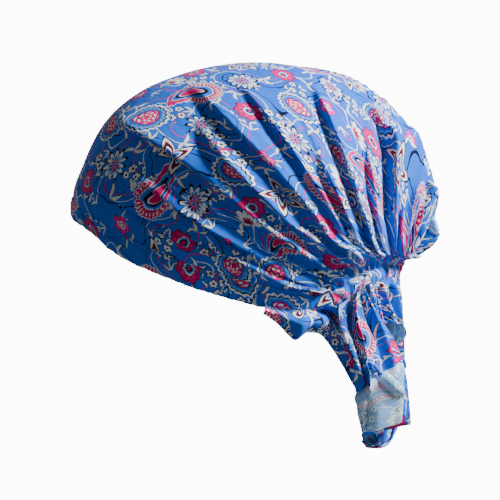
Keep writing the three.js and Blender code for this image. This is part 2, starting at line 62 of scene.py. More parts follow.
# ---- Numbers ---------------------------------------------------------------------------------
@dataclass(frozen=True)
class Table:
    """A short table, whose first column is the key that it is read by.

    Args:
        columns: The names of the columns.
        rows: One row for each section, with rising keys.
    """

    columns: tuple[str, ...]
    rows: tuple[tuple[float, ...], ...]

    def read(self, column: str, at: Grid) -> Grid:
        """Reads a column between its rows, on a smooth curve through them.

        Args:
            column: The column's name.
            at: Key values, held within the first and last row.

        Returns:
            The column's value at each key.
        """
        cells = np.array(self.rows, float)
        keys = cells[:, 0]
        values = cells[:, self.columns.index(column)]
        before = np.maximum(np.arange(len(keys)) - 1, 0)
        after = np.minimum(np.arange(len(keys)) + 1, len(keys) - 1)
        slopes = (values[after] - values[before]) / (keys[after] - keys[before])
        place = np.clip(at, keys[0], keys[-1])
        row = np.clip(np.searchsorted(keys, place, side="right") - 1, 0, len(keys) - 2)
        span = keys[row + 1] - keys[row]
        share = (place - keys[row]) / span
        bend = share * share * (3 - 2 * share)
        pull = span * share * (1 - share)
        rise = (values[row + 1] - values[row]) * bend
        return values[row] + rise + pull * (slopes[row] * (1 - share) - slopes[row + 1] * share)

    def point(self, at: Grid) -> Grid:
        """Reads the x, y and z columns.

        Args:
            at: Key values.

        Returns:
            Points, in millimetres.
        """
        return np.stack([self.read(name, at) for name in ("x", "y", "z")], axis=-1)


def ease(low: float, high: float, value: Grid) -> Grid:
    """Rises smoothly from 0 at low to 1 at high."""
    share = np.clip((value - low) / (high - low), 0, 1)
    return share * share * (3 - 2 * share)


def bell(gap: Grid, width: Grid) -> Grid:
    """Falls from 1 at no gap to 0, about a width away."""
    return np.exp(-((gap / width) ** 2))


def unit(vectors: Grid) -> Grid:
    """Scales vectors to a length of 1."""
    return vectors / np.maximum(np.linalg.norm(vectors, axis=-1, keepdims=True), 1e-9)


def soft_noise(x: Grid, y: Grid, seed: int) -> Grid:
    """Smooth seeded noise from -1 to 1, with one lump per unit.

    Args:
        x: First coordinate.
        y: Second coordinate.
        seed: Picks the pattern.

    Returns:
        The noise at each place.
    """
    size = 64
    cells = np.random.default_rng(seed).uniform(-1, 1, (size, size))
    column, row = np.floor(x).astype(int), np.floor(y).astype(int)
    across, along = ease(0, 1, x - column), ease(0, 1, y - row)
    near = cells[row % size, column % size] * (1 - across)
    near = near + cells[row % size, (column + 1) % size] * across
    far = cells[(row + 1) % size, column % size] * (1 - across)
    far = far + cells[(row + 1) % size, (column + 1) % size] * across
    return near * (1 - along) + far * along


def shares(across: int, along: int) -> tuple[Grid, Grid]:
    """The places of a cloth's grid, each from 0 to 1.

    Args:
        across: Number of cells across.
        along: Number of cells along.

    Returns:
        The shares across and along, with a row for each step along.
    """
    return np.meshgrid(np.linspace(0, 1, across + 1), np.linspace(0, 1, along + 1))


def arc_lengths(points: Grid, axis: int) -> Grid:
    """Adds up the distances between neighbouring points.

    Args:
        points: A grid of points.
        axis: The axis to follow.

    Returns:
        The length from the axis's start to each point.
    """
    steps = np.linalg.norm(np.diff(points, axis=axis), axis=-1)
    first = np.zeros_like(np.take(steps, [0], axis=axis))
    return np.concatenate([first, np.cumsum(steps, axis=axis)], axis=axis)


# ---- The head form and the crown's layout ----------------------------------------------------
@dataclass(frozen=True)
class HeadForm:
    """The inner face of the crown, from its outline on the middle plane."""

    centre_y: float = 2.0
    centre_z: float = -85.0
    half_width: float = 71.5
    power: float = 2.1
    first_bearing: float = -60.0
    reach_limit: float = 200.0
    cast_steps: int = 34
    slope_step: float = 0.4
    outline: Table = Table(
        ("bearing", "reach"),
        (
            (-60, 158), (-30, 124), (-12, 105), (0, 109.7), (12, 105), (30, 100.5), (45, 94.5),
            (60, 88.5), (75, 85.4), (90, 85), (105, 87), (120, 91.5), (135, 96), (150, 102),
            (165, 107.3), (180, 110.5), (190, 109), (201, 104), (210, 113), (222, 134),
            (245, 160), (270, 172), (300, 158),
        ),
    )  # fmt: skip

    def value(self, points: Grid) -> Grid:
        """Is below 0 inside the form and 0 on it.

        Args:
            points: Points, in millimetres.

        Returns:
            The form's value at each point.
        """
        ahead = self.centre_y - points[..., 1]
        above = points[..., 2] - self.centre_z
        bearing = np.degrees(np.arctan2(above, ahead))
        bearing = np.where(bearing < self.first_bearing, bearing + 360, bearing)
        share = np.hypot(ahead, above) / self.outline.read("reach", bearing)
        side = np.abs(points[..., 0] / self.half_width)
        return share**self.power + side**self.power - 1

    def cast(self, origins: Grid, rays: Grid) -> Grid:
        """Finds where rays from inside the form meet it.

        Args:
            origins: Start points.
            rays: Unit directions.

        Returns:
            Points of the form.
        """
        near = np.zeros(origins.shape[:-1])
        far = np.full(origins.shape[:-1], self.reach_limit)
        for _ in range(self.cast_steps):
            middle = (near + far) / 2
            inside = self.value(origins + rays * middle[..., None]) < 0
            near = np.where(inside, middle, near)
            far = np.where(inside, far, middle)
        return origins + rays * near[..., None]

    def normal(self, points: Grid) -> Grid:
        """Gives the way out of the form.

        Args:
            points: Points near it.

        Returns:
            Unit vectors.
        """
        steps = np.eye(3) * self.slope_step
        slopes = [self.value(points + step) - self.value(points - step) for step in steps]
        return unit(np.stack(slopes, axis=-1))


@dataclass(frozen=True)
class StripLayout:
    """How the crown's cloth runs in strips from ear to ear, drawn in to a seam behind each."""

    form: HeadForm = HeadForm()
    crease_bearing: float = 1.0
    casing_bearing: float = 201.0
    bow_rise: float = 1.15
    seam: Table = Table(
        ("rank", "y", "z"),
        (
            (0, 50, -139), (0.12, 55, -137), (0.24, 64, -131), (0.36, 71, -128),
            (0.58, 80, -125.5), (0.78, 87, -124.5), (1, 92, -124), (1.012, 91.5, -128),
        ),
    )  # fmt: skip
    bow: Table = Table(
        ("rank", "bow"),
        ((0, -20), (0.06, -12), (0.14, -2), (0.3, 4), (0.45, 7), (0.7, 3), (1, 0)),
    )

    def place(self, swing: Grid, rank: Grid) -> Grid:
        """Gives points of the unpleated crown.

        Args:
            swing: From -1 at the right seam to 1 at the left one.
            rank: From 0 at the brow crease to 1 at the nape casing.

        Returns:
            Points on the head form.
        """
        swing, rank = np.broadcast_arrays(np.asarray(swing, float), np.asarray(rank, float))
        y, z = self.seam.read("y", rank), self.seam.read("z", rank)
        bearing = self.crease_bearing + (self.casing_bearing - self.crease_bearing) * rank
        reach = self.form.outline.read("reach", bearing)
        crest_y = self.form.centre_y - reach * np.cos(np.radians(bearing))
        crest_z = self.form.centre_z + reach * np.sin(np.radians(bearing))
        bow = np.radians(self.bow.read("bow", rank)) * np.abs(swing) ** self.bow_rise
        climb = np.arctan2(crest_z - z, y - crest_y) + bow
        turn = swing * math.pi / 2
        rays = np.stack(
            [np.sin(turn), -np.cos(turn) * np.cos(climb), np.cos(turn) * np.sin(climb)], axis=-1
        )
        return self.form.cast(np.stack([np.zeros_like(y), y, z], axis=-1), rays)


@dataclass(frozen=True)
class Frames:
    """Places along a seam, with the way out of the form and the way down the cloth at each."""

    point: Grid
    normal: Grid
    down: Grid

    def at(self, drop: "Grid | float", rise: "Grid | float") -> Grid:
        """Gives the points this far down the cloth and this far out of the form."""
        down = self.down * np.asarray(drop)[..., None]
        return self.point + down + self.normal * np.asarray(rise)[..., None]

    def outward(self) -> Grid:
        """Gives the level ways out of the form."""
        return unit(self.normal * np.array([1, 1, 0]))


def downhill(along: Grid, normal: Grid) -> Grid:
    """Gives the ways down a cloth that hangs from a seam."""
    down = unit(np.cross(along, normal))
    return np.where(down[..., 2:] > 0, -down, down)


@dataclass(frozen=True)
class SeamPath:
    """The path down the left gather seam, round the nape and up the right one, from 0 to 1."""

    layout: StripLayout = StripLayout()
    side_steps: int = 120
    nape_steps: int = 96
    corner_reach: float = 3.0  # the path's direction is taken over this much to each side

    def polyline(self) -> Grid:
        """Lays out the path.

        Returns:
            Close points along it.
        """
        down = np.linspace(0, 1, self.side_steps)
        round_nape = np.linspace(1, -1, self.nape_steps)[1:-1]
        left = self.layout.place(np.ones_like(down), down)
        nape = self.layout.place(round_nape, np.ones_like(round_nape))
        right = self.layout.place(-np.ones_like(down), down[::-1])
        return np.concatenate([left, nape, right])

    def frames(self, place: Grid) -> Frames:
        """Reads the path at places from 0 to 1.

        Args:
            place: Shares of the path's length.

        Returns:
            The frames there.
        """
        line = self.polyline()
        lengths = arc_lengths(line, 0)
        total = lengths[-1]

        def at(length: Grid) -> Grid:
            """Finds points of the path, carried on straight past its ends.

            Args:
                length: Lengths along the path.

            Returns:
                The points.
            """
            held = np.clip(length, 0, total)
            found = np.stack([np.interp(held, lengths, line[:, axis]) for axis in range(3)], -1)
            start_way, end_way = unit(line[1] - line[0]), unit(line[-1] - line[-2])
            past_start = np.minimum(length, 0)[..., None] * start_way
            past_end = np.maximum(length - total, 0)[..., None] * end_way
            return found + past_start + past_end

        length = np.asarray(place, float) * total
        point = at(length)
        normal = self.layout.form.normal(point)
        along = unit(at(length + self.corner_reach) - at(length - self.corner_reach))
        return Frames(point, normal, downhill(along, normal))


@dataclass(frozen=True)
class CreaseFrame:
    """The crown's front crease and the way down the cloth under it."""

    layout: StripLayout = StripLayout()
    step: float = 0.01
    end_from: float = 0.8
    end_lean: float = 0.3
    end_narrowing: float = 0.35
    full_height: float = 13.0

    def frames(self, swing: Grid) -> Frames:
        """Reads the crease.

        Args:
            swing: From -1 to 1.

        Returns:
            The frames there.
        """
        rank = np.zeros_like(swing)
        point = self.layout.place(swing, rank)
        normal = self.layout.form.normal(point)
        ahead = self.layout.place(np.minimum(swing + self.step, 1), rank)
        behind = self.layout.place(np.maximum(swing - self.step, -1), rank)
        down = downhill(unit(ahead - behind), normal)
        share = ease(self.end_from, 1, np.abs(swing))[..., None]
        straight = np.array([0, self.end_lean, -1.0])
        return Frames(point, normal, unit(down * (1 - share) + straight * share))

    def height(self, swing: Grid) -> Grid:
        """Gives the band's height, which narrows to both ends."""
        return self.full_height * (1 - self.end_narrowing * ease(self.end_from, 1, np.abs(swing)))


# ---- Folds of the crown ----------------------------------------------------------------------
@dataclass(frozen=True)
class Pleat:
    """One fold of the crown, in millimetres high and wide.

    Args:
        swings: The ridge's swings at a few places, from its firm end to where it dies away.
        ranks: Its ranks there.
        height: The ridge's height.
        width: The gentle flank's width.
        fades_from: The share of the line after which the ridge dies away.
        tucked: Whether cloth is hidden under the steep flank, so that the print jumps there.
        steep: The steep flank's side, 1 or -1. On the left, 1 is the side towards the brow.
        whole: How much of the height the firm end keeps.
    """

    swings: tuple[float, ...]
    ranks: tuple[float, ...]
    height: float
    width: float
    fades_from: float = 0.6
    tucked: bool = False
    steep: int = 1
    whole: float = 0.0
    steps: ClassVar[int] = 20
    steep_share: ClassVar[float] = 0.3
    full_from: ClassVar[float] = 0.15  # the share of the line at which the ridge is at full height
    trough_share: ClassVar[float] = 0.52
    trough_place: ClassVar[float] = 1.9  # from the ridge, in widths of the steep flank
    trough_width: ClassVar[float] = 1.1
    crispness: ClassVar[float] = 1.15
    roll: ClassVar[float] = 0.55  # how far the ridge leans over its steep flank, for its height

    def trace(self, share: Grid) -> tuple[Grid, Grid]:
        """Reads the ridge's line.

        Args:
            share: From 0 at the firm end to 1 at the far one.

        Returns:
            The swing and the rank.
        """
        keys = np.linspace(0, 1, len(self.swings))
        return np.interp(share, keys, self.swings), np.interp(share, keys, self.ranks)

    def shift(self, layout: StripLayout, points: Grid, normals: Grid) -> Grid:
        """Tells how this pleat moves the cloth.

        Args:
            layout: The crown's strips.
            points: Points of the unpleated crown.
            normals: The form's normals there.

        Returns:
            What is added to each point, in millimetres.
        """
        line = layout.place(*self.trace(np.linspace(0, 1, self.steps + 1)))
        gap = np.full(points.shape[:-1], np.inf)
        found = np.zeros(points.shape[:-1])
        way = np.zeros(points.shape)
        ridge_way = np.zeros(points.shape)
        for index in range(self.steps):
            chord = line[index + 1] - line[index]
            offset = points - line[index]
            along = np.clip(offset @ chord / (chord @ chord), 0, 1)
            away = np.linalg.norm(offset - along[..., None] * chord, axis=-1)
            nearer = away < gap
            gap = np.where(nearer, away, gap)
            found = np.where(nearer, (index + along) / self.steps, found)
            way = np.where(nearer[..., None], offset, way)
            ridge_way = np.where(nearer[..., None], chord, ridge_way)
        sideways = unit(np.cross(normals, ridge_way)) * self.steep
        under = np.sum(way * sideways, axis=-1) > 0
        flank = self.width * (0.4 + 0.6 * ease(0, 0.5, found))
        flank = flank * np.where(under, self.steep_share, 1)
        rise = self.whole + (1 - self.whole) * ease(0, self.full_from, found)
        rise = rise * (1 - ease(self.fades_from, 1, found))
        lift = self.height * rise * np.exp(-((gap / flank) ** self.crispness))
        foot = self.width * self.steep_share
        trough = bell(gap - self.trough_place * foot, self.trough_width * foot)
        lift = lift - self.trough_share * self.height * rise * np.where(under, trough, 0)
        return normals * lift[..., None] + sideways * (self.roll * lift)[..., None]


MAIN_PLEATS = (
    # Left side, from the brow up and back
    Pleat((1, 0.8, 0.6, 0.45), (0.03, 0.03, 0.03, 0.025), 3.6, 5),
    Pleat((1, 0.8, 0.6, 0.42, 0.25, 0.1), (0.055, 0.055, 0.06, 0.06, 0.055, 0.045), 5.2, 7, 0.85, True),
    Pleat((0.85, 0.6, 0.35, 0.12), (0.02, 0.018, 0.016, 0.016), 2.2, 3, 0.8),
    Pleat((0.95, 0.7, 0.5, 0.3, 0.12), (0.075, 0.078, 0.1, 0.105, 0.1), 3, 3.4, 0.8),
    Pleat((0.9, 0.7, 0.5), (0.125, 0.122, 0.118), 2.8, 3.4, 0.8),
    Pleat((0.5, 0.36, 0.2, 0.06), (0.08, 0.08, 0.078, 0.075), 3.4, 5, 0.8),
    Pleat((0.55, 0.35, 0.1), (0.035, 0.035, 0.03), 2.8, 4, 0.8),
    Pleat((0.55, 0.42, 0.25), (0.12, 0.122, 0.125), 3, 4.5, 0.7),
    Pleat((0.72, 0.6, 0.45), (0.165, 0.163, 0.16), 2.4, 4),
    Pleat((0.75, 0.6, 0.45), (0.225, 0.222, 0.215), 2.6, 4.5),
    Pleat((1, 0.8, 0.62, 0.45, 0.3, 0.18), (0.1, 0.1, 0.1, 0.1, 0.1, 0.09), 4.6, 6, 0.8),
    Pleat((1, 0.8, 0.6, 0.45, 0.35), (0.15, 0.145, 0.14, 0.14, 0.14), 5.4, 7, 0.8, True),
    Pleat((1, 0.8, 0.6, 0.42, 0.28, 0.16, 0.05),
          (0.205, 0.195, 0.19, 0.187, 0.175, 0.16, 0.152), 7.4, 12, 0.75, True),
    Pleat((1, 0.8, 0.64, 0.5, 0.38, 0.25), (0.27, 0.265, 0.26, 0.25, 0.245, 0.25), 7.8, 11, 0.78, True),
    Pleat((1, 0.85, 0.7, 0.55), (0.305, 0.305, 0.3, 0.3), 3.6, 5),
    Pleat((1, 0.8, 0.6, 0.42, 0.3, 0.12), (0.35, 0.35, 0.345, 0.327, 0.31, 0.29), 8.2, 11, 0.7, True),
    Pleat((1, 0.75, 0.5, 0.32, 0.15), (0.43, 0.425, 0.41, 0.395, 0.38), 6.2, 8, 0.6, True),
    Pleat((1, 0.75, 0.5, 0.38), (0.49, 0.48, 0.47, 0.46), 4.5, 7, 0.6, True),
    Pleat((1, 0.75, 0.5, 0.3, 0.15), (0.57, 0.565, 0.56, 0.555, 0.55), 5.9, 8, 0.6, True),
    Pleat((1, 0.75, 0.5, 0.3), (0.65, 0.645, 0.65, 0.66), 4.8, 7),
    Pleat((1, 0.75, 0.5, 0.33, 0.2, 0.12), (0.735, 0.74, 0.74, 0.73, 0.7, 0.66), 7.3, 9, 0.6, True),
    Pleat((1, 0.75, 0.5, 0.3), (0.82, 0.825, 0.825, 0.8), 6.2, 8, 0.6, True),
    Pleat((1, 0.75, 0.55, 0.4), (0.91, 0.915, 0.9, 0.86), 5, 7, 0.6, True),
    Pleat((1, 0.8, 0.6, 0.42), (0.775, 0.78, 0.785, 0.79), 4.2, 4),
    Pleat((1, 0.8, 0.6, 0.4, 0.25), (0.865, 0.87, 0.865, 0.85, 0.82), 5.4, 4.5, 0.75),
    Pleat((1, 0.8, 0.6, 0.42, 0.3), (0.945, 0.95, 0.94, 0.91, 0.87), 5.6, 4.5, 0.75),
    Pleat((0.9, 0.7, 0.52, 0.42), (0.985, 0.98, 0.965, 0.94), 4, 4, 0.75, False, 1, 0.3),
    # The nape and the crown of the head, seen from behind
    Pleat((-0.8, -0.62, -0.45, -0.33, -0.24, -0.14, -0.02),
          (0.97, 0.93, 0.87, 0.82, 0.75, 0.66, 0.52), 8.8, 12, 0.6, False, -1, 0.4),
    Pleat((-0.3, -0.22, -0.14, -0.06, 0.04), (0.9, 0.85, 0.78, 0.7, 0.6), 6.4, 8, 0.5, False, -1, 0.4),
    Pleat((0.55, 0.42, 0.34, 0.28, 0.22), (0.97, 0.9, 0.82, 0.72, 0.6), 6, 7, 0.5, False, -1, 0.4),
    Pleat((-0.02, 0.02, 0.07, 0.12), (0.76, 0.68, 0.6, 0.48), 6.3, 9, 0.25, False, -1, 0.2),
    Pleat((0.02, 0.07, 0.11, 0.15, 0.2), (0.99, 0.92, 0.86, 0.79, 0.72), 7, 9, 0.6, False, -1, 0.6),
    Pleat((0.35, 0.32, 0.3, 0.3), (0.98, 0.9, 0.84, 0.78), 4.5, 8, 0.6, False, -1, 0.6),
    Pleat((-0.38, -0.3, -0.2, -0.12), (0.99, 0.95, 0.91, 0.88), 6.3, 9, 0.6, False, 1, 0.7),
    Pleat((-0.02, -0.02, -0.03), (1, 0.95, 0.9), 3.5, 6, 0.6, False, -1, 0.8),
    # Right side
    Pleat((-1, -0.75, -0.5, -0.38), (0.84, 0.84, 0.8, 0.74), 5, 8, 0.6, True, -1),
    Pleat((-1, -0.75, -0.55, -0.4, -0.3), (0.7, 0.7, 0.7, 0.68, 0.64), 8.4, 11, 0.6, True, -1),
    Pleat((-1, -0.7, -0.5), (0.6, 0.6, 0.6), 4.2, 7, 0.6, True, -1),
    Pleat((-1, -0.75, -0.5, -0.35), (0.5, 0.5, 0.5, 0.49), 6.2, 8, 0.6, True, -1),
    Pleat((-1, -0.8, -0.6), (0.41, 0.4, 0.4), 4.5, 7, 0.6, True, -1),
    Pleat((-1, -0.75, -0.55, -0.35), (0.3, 0.3, 0.3, 0.29), 8.4, 11, 0.6, True, -1),
    Pleat((-1, -0.75, -0.5, -0.25), (0.22, 0.215, 0.2, 0.19), 7.7, 10, 0.6, True, -1),
    Pleat((-1, -0.7, -0.4, -0.15), (0.14, 0.14, 0.13, 0.12), 6.4, 9, 0.6, True, -1),
    Pleat((-1, -0.7, -0.4, -0.2), (0.07, 0.065, 0.06, 0.05), 5, 7, 0.6, True, -1),
)  # fmt: skip


@dataclass(frozen=True)
class FineFolds:
    """Seeded small folds between the main pleats, which fan out of both gathers."""

    count: int = 60
    seed: int = 11
    heights: tuple[float, float] = (0.9, 2.5)
    widths: tuple[float, float] = (2.2, 4.2)
    far_swings: tuple[float, float] = (0.25, 0.75)
    wander: float = 0.03

    def pleats(self) -> list[Pleat]:
        """Draws the folds, the same ones each time.

        Returns:
            The folds, on the left and the right in turn.
        """
        random = np.random.default_rng(self.seed)
        folds = []
        for index in range(self.count):
            side = 1 if index % 2 == 0 else -1
            rank = (index // 2 + random.uniform(0.2, 0.8)) / (self.count / 2)
            far_rank = float(np.clip(rank + random.uniform(-1, 1) * self.wander, 0.02, 0.98))
            far_swing = side * random.uniform(*self.far_swings)
            height, width = random.uniform(*self.heights), random.uniform(*self.widths)
            line = (side, far_swing), (rank, far_rank)
            folds.append(Pleat(*line, height, width, steep=side))
        return folds


@dataclass(frozen=True)
class CrownFolds:
    """Everything that moves the crown's cloth off the head form."""

    layout: StripLayout
    crease_fade: float = 0.04
    casing_fade: tuple[float, float] = (0.972, 0.99)  # the ranks over which the casing flattens folds
    seam_fade: float = 0.972
    rib_count: float = 13
    rib_height: float = 2.4
    rib_from: float = 0.62
    rib_wander: float = 0.6
    fine_rib_rate: float = 2.3
    fine_rib_from: float = 0.78
    ear_puff: float = 5.5
    nape_puff: float = 2.1
    back_puff: float = 6.5
    crumple: float = 0.7
    tucked_swings: tuple[float, float] = (0.22, 0.6)  # where the print starts to jump at a tuck
    tuck_lead: float = 0.012  # how far before a ridge, in ranks, its cloth goes under

    def shift(self, points: Grid, normals: Grid, swing: Grid, rank: Grid) -> Grid:
        """Adds up pleats, ribs, puffs and crumples.

        Args:
            points: Points of the unpleated crown.
            normals: The form's normals there.
            swing: The points' swings.
            rank: The points' ranks.

        Returns:
            What is added to each point, in millimetres.
        """
        edge = ease(0, self.crease_fade, rank) * (1 - 0.85 * ease(*self.casing_fade, rank))
        edge = (edge * (1 - 0.75 * ease(self.seam_fade, 1, np.abs(swing))))[..., None]
        folds = [*MAIN_PLEATS, *FineFolds().pleats()]
        pleats = sum(fold.shift(self.layout, points, normals) for fold in folds)
        small = self.ribs(swing, rank) + self.crumples(swing, rank)
        folded = edge * (pleats + normals * small[..., None])
        return folded + normals * self.puff(swing, rank)[..., None]

    def ribs(self, swing: Grid, rank: Grid) -> Grid:
        """Gives the close, uneven ribs that run into the seams.

        Args:
            swing: The points' swings.
            rank: The points' ranks.

        Returns:
            Their height, in millimetres.
        """
        side = np.abs(swing)
        drift = self.rib_wander * soft_noise(rank * 7, swing * 2.5, 3)
        wide = np.sin(math.pi * (self.rib_count * rank + drift)) ** 2
        fine = np.sin(math.pi * (self.rib_count * self.fine_rib_rate * rank + 2 * drift)) ** 2
        wide, fine = ease(self.rib_from, 1, side) * wide, ease(self.fine_rib_from, 1, side) * fine
        return self.rib_height * (wide + 0.4 * fine)

    def crumples(self, swing: Grid, rank: Grid) -> Grid:
        """Gives the shallow creases drawn out along the strips.

        Args:
            swing: The points' swings.
            rank: The points' ranks.

        Returns:
            Their height, in millimetres.
        """
        long_ones = soft_noise(swing * 5 + 9, rank * 34, 5)
        short_ones = soft_noise(swing * 11 + 3, rank * 70 + 8, 6)
        return self.crumple * (long_ones + 0.5 * short_ones) * ease(0.1, 0.5, np.abs(swing))

    def puff(self, swing: Grid, rank: Grid) -> Grid:
        """Gives the cloth's bulge over each ear, over the nape and behind.

        Args:
            swing: The points' swings.
            rank: The points' ranks.

        Returns:
            Its height, in millimetres.
        """
        side = np.abs(swing)
        begun = ease(0.12, 0.4, rank) * (1 - 0.4 * ease(0.6, 0.95, rank))
        over_ear = self.ear_puff * begun * bell(side - 0.8, 0.13)
        behind = self.back_puff * bell(rank - 0.765, 0.036) * (1 - ease(0.2, 0.6, side))
        return np.maximum(over_ear, self.nape_puff * bell(rank - 0.9, 0.07)) + behind

    def tucks(self, swing: float) -> Grid:
        """Lists the ranks at which cloth is tucked away in one column, between 0 and 1.

        Args:
            swing: The column's swing.

        Returns:
            The ranks in order, with both ends.
        """
        side = 1 if swing >= 0 else -1
        ranks = [0.0, 1.0]
        for pleat in MAIN_PLEATS:
            if pleat.tucked and pleat.swings[0] * side > 0:
                sides = np.array(pleat.swings[::-1]) * side
                at = np.interp(abs(swing), sides, pleat.ranks[::-1])
                ranks.append(float(at) - self.tuck_lead)
        return np.array(sorted(ranks))

    def print_rows(self, points: Grid, swing: Grid, rank: Grid) -> Grid:
        """Gives the print's coordinate along the cap, which jumps where cloth is tucked away.

        Args:
            points: The pleated crown, with an odd number of columns.
            swing: The points' swings.
            rank: The points' ranks.

        Returns:
            The coordinate, in millimetres, from the middle of the cap.
        """
        lengths = arc_lengths(points, 0)
        centre = points.shape[1] // 2
        middle, middle_rank = lengths[:, centre], rank[:, centre]
        found = np.zeros(lengths.shape)
        for column, way in enumerate(swing[0]):
            ranks, length = rank[:, column], lengths[:, column]
            tucks = self.tucks(way)
            anchors = (tucks[1:] + tucks[:-1]) / 2
            cell = np.clip(np.searchsorted(tucks, ranks, side="right") - 1, 0, len(anchors) - 1)
            whole = np.interp(anchors, middle_rank, middle)
            seen = np.interp(anchors, ranks, length)
            tucked = whole[cell] + length - seen[cell]
            plain = np.interp(ranks, middle_rank, middle)
            found[:, column] = plain + (tucked - plain) * ease(*self.tucked_swings, abs(way))
        return found - np.interp(0.5, middle_rank, middle)


# ---- Dyes and printed figures ----------------------------------------------------------------
class Dye(Enum):
    """The print's colours, as red, green and blue from 0 to 255."""

    ROYAL = (14, 95, 212)
    BRIGHT = (26, 108, 220)
    NAVY = (3, 6, 38)
    SKY = (84, 152, 232)
    WHITE = (236, 238, 242)
    CREAM = (232, 230, 222)
    PINK = (236, 20, 152)
    ROSE = (210, 0, 108)
    CRIMSON = (122, 0, 50)

    def colour(self) -> Colour:
        """Gives the colour as a shader takes it."""
        parts = [((part / 255 + 0.055) / 1.055) ** 2.4 for part in self.value]
        return (parts[0], parts[1], parts[2], 1.0)


def fill(node: bpy.types.Node, inputs: "Inputs") -> None:
    """Gives a node its inputs.

    Args:
        node: The node.
        inputs: Fixed values, wires or other nodes' outputs, by the inputs' names or numbers.
    """
    for key, value in inputs.items():
        value = value.socket if isinstance(value, Wire) else value
        if isinstance(value, Socket):
            node.id_data.links.new(value, node.inputs[key])
        else:
            node.inputs[key].default_value = value


def add_node(
    tree: bpy.types.NodeTree, kind: str, inputs: "Inputs", **options: str
) -> bpy.types.Node:
    """Adds a node to a tree.

    Args:
        tree: The node tree.
        kind: The node's type, without the prefix that all have.
        inputs: What its inputs get.
        options: Its own settings.

    Returns:
        The node.
    """
    node = tree.nodes.new(f"ShaderNode{kind}")
    for name, value in options.items():
        setattr(node, name, value)
    fill(node, inputs)
    return node


def shaded(name: str, inputs: "Inputs") -> bpy.types.Material:
    """Makes a material of one shader.

    Args:
        name: The material's name.
        inputs: What the shader's inputs get.

    Returns:
        The material.
    """
    material = bpy.data.materials.new(name)
    material.use_nodes = True
    fill(material.node_tree.nodes["Principled BSDF"], inputs)
    return material


@dataclass(frozen=True)
class Wire:
    """A number on its way through a node tree. Arithmetic on it adds Math nodes."""

    socket: Socket

    def math(self, operation: str, *others: "Wire | float") -> "Wire":
        """Adds a Math node for the number and what it is combined with."""
        inputs = dict(enumerate((self, *others)))
        return Wire(add_node(self.socket.id_data, "Math", inputs, operation=operation).outputs[0])

    __add__ = partialmethod(math, "ADD")
    __sub__ = partialmethod(math, "SUBTRACT")
    __mul__ = partialmethod(math, "MULTIPLY")
    __truediv__ = partialmethod(math, "DIVIDE")
    __pow__ = partialmethod(math, "POWER")
    __abs__ = partialmethod(math, "ABSOLUTE")
    below = partialmethod(math, "LESS_THAN")
    above = partialmethod(math, "GREATER_THAN")


Inputs = dict["int | str", "Socket | Wire | Colour | float"]


@dataclass(frozen=True)
class Spot:
    """A place on the print, seen from a figure's middle."""

    reach: Wire
    bearing: Wire


@dataclass(frozen=True)
class Seeds:
    """Specks inside a figure.

    Args:
        count: Number of specks in a round.
        pitch: The distance between rounds, in millimetres.
        start: The share of the outline at which they begin.
        end: The share at which they end.
        dye: Their colour.
        cover: A speck's radius, as a share of its cell.
    """

    count: int
    pitch: float
    start: float
    end: float
    dye: Dye
    cover: float = 0.3


@dataclass(frozen=True)
class Figure:
    """One printed figure, drawn in rings from its middle outwards: a drop, a flower or leaves.

    Args:
        radius: The distance from the middle to the outline, in millimetres.
        rings: The share of the outline up to which each dye reaches.
        petals: Number of petals, or 0.
        waist: The outline between two petals, as a share of the radius.
        sharpness: Above 1, petals are slim, and below 1, broad.
        pointed: Whether petals end in a point.
        tip: How much further a drop's tip reaches, as a share of the radius, or 0 for no drop.
        tip_width: The tip's width, in radians.
        curl: How far the figure bends round, in radians for each radius.
        frill: Number of small scallops round a drop.
        frill_depth: Their depth, as a share of the radius.
        fan: Half the angle that the petals fill, in radians, or 0 for the whole round.
        seeds: Specks inside, or None.
    """

    radius: float
    rings: tuple[tuple[float, Dye], ...]
    petals: int = 0
    waist: float = 1.0
    sharpness: float = 1.0
    pointed: bool = False
    tip: float = 0.0
    tip_width: float = 0.5
    curl: float = 0.0
    frill: int = 0
    frill_depth: float = 0.0
    fan: float = 0.0
    seeds: Seeds | None = None

    def share(self, spot: Spot) -> Wire:
        """Gives the distance from the middle as a share of the outline's.

        Args:
            spot: The place on the print.

        Returns:
            The share, which is 1 on the outline.
        """
        bearing = spot.bearing
        if self.curl:
            bent = bearing - spot.reach * (self.curl / self.radius)
            bearing = bent.math("WRAP", math.pi, -math.pi)
        if self.tip:
            turned = bearing / self.tip_width
            size = (turned * turned + 1) ** -1.5 * (self.radius * self.tip) + self.radius
            share = (spot.reach - size) / self.radius + 1
            return share / ((bearing * self.frill).math("COSINE") * self.frill_depth + 1)
        if self.pointed:
            turned = (bearing * (self.petals / math.pi)).math("WRAP", 1, -1)
            lobe = (abs(turned) * -1 + 1) ** self.sharpness
        else:
            lobe = abs((bearing * (self.petals / 2)).math("COSINE")) ** self.sharpness
        size = lobe * (self.radius * (1 - self.waist)) + self.radius * self.waist
        if self.fan:
            size = abs(bearing).below(self.fan) * size + 1e-3
        return spot.reach / size


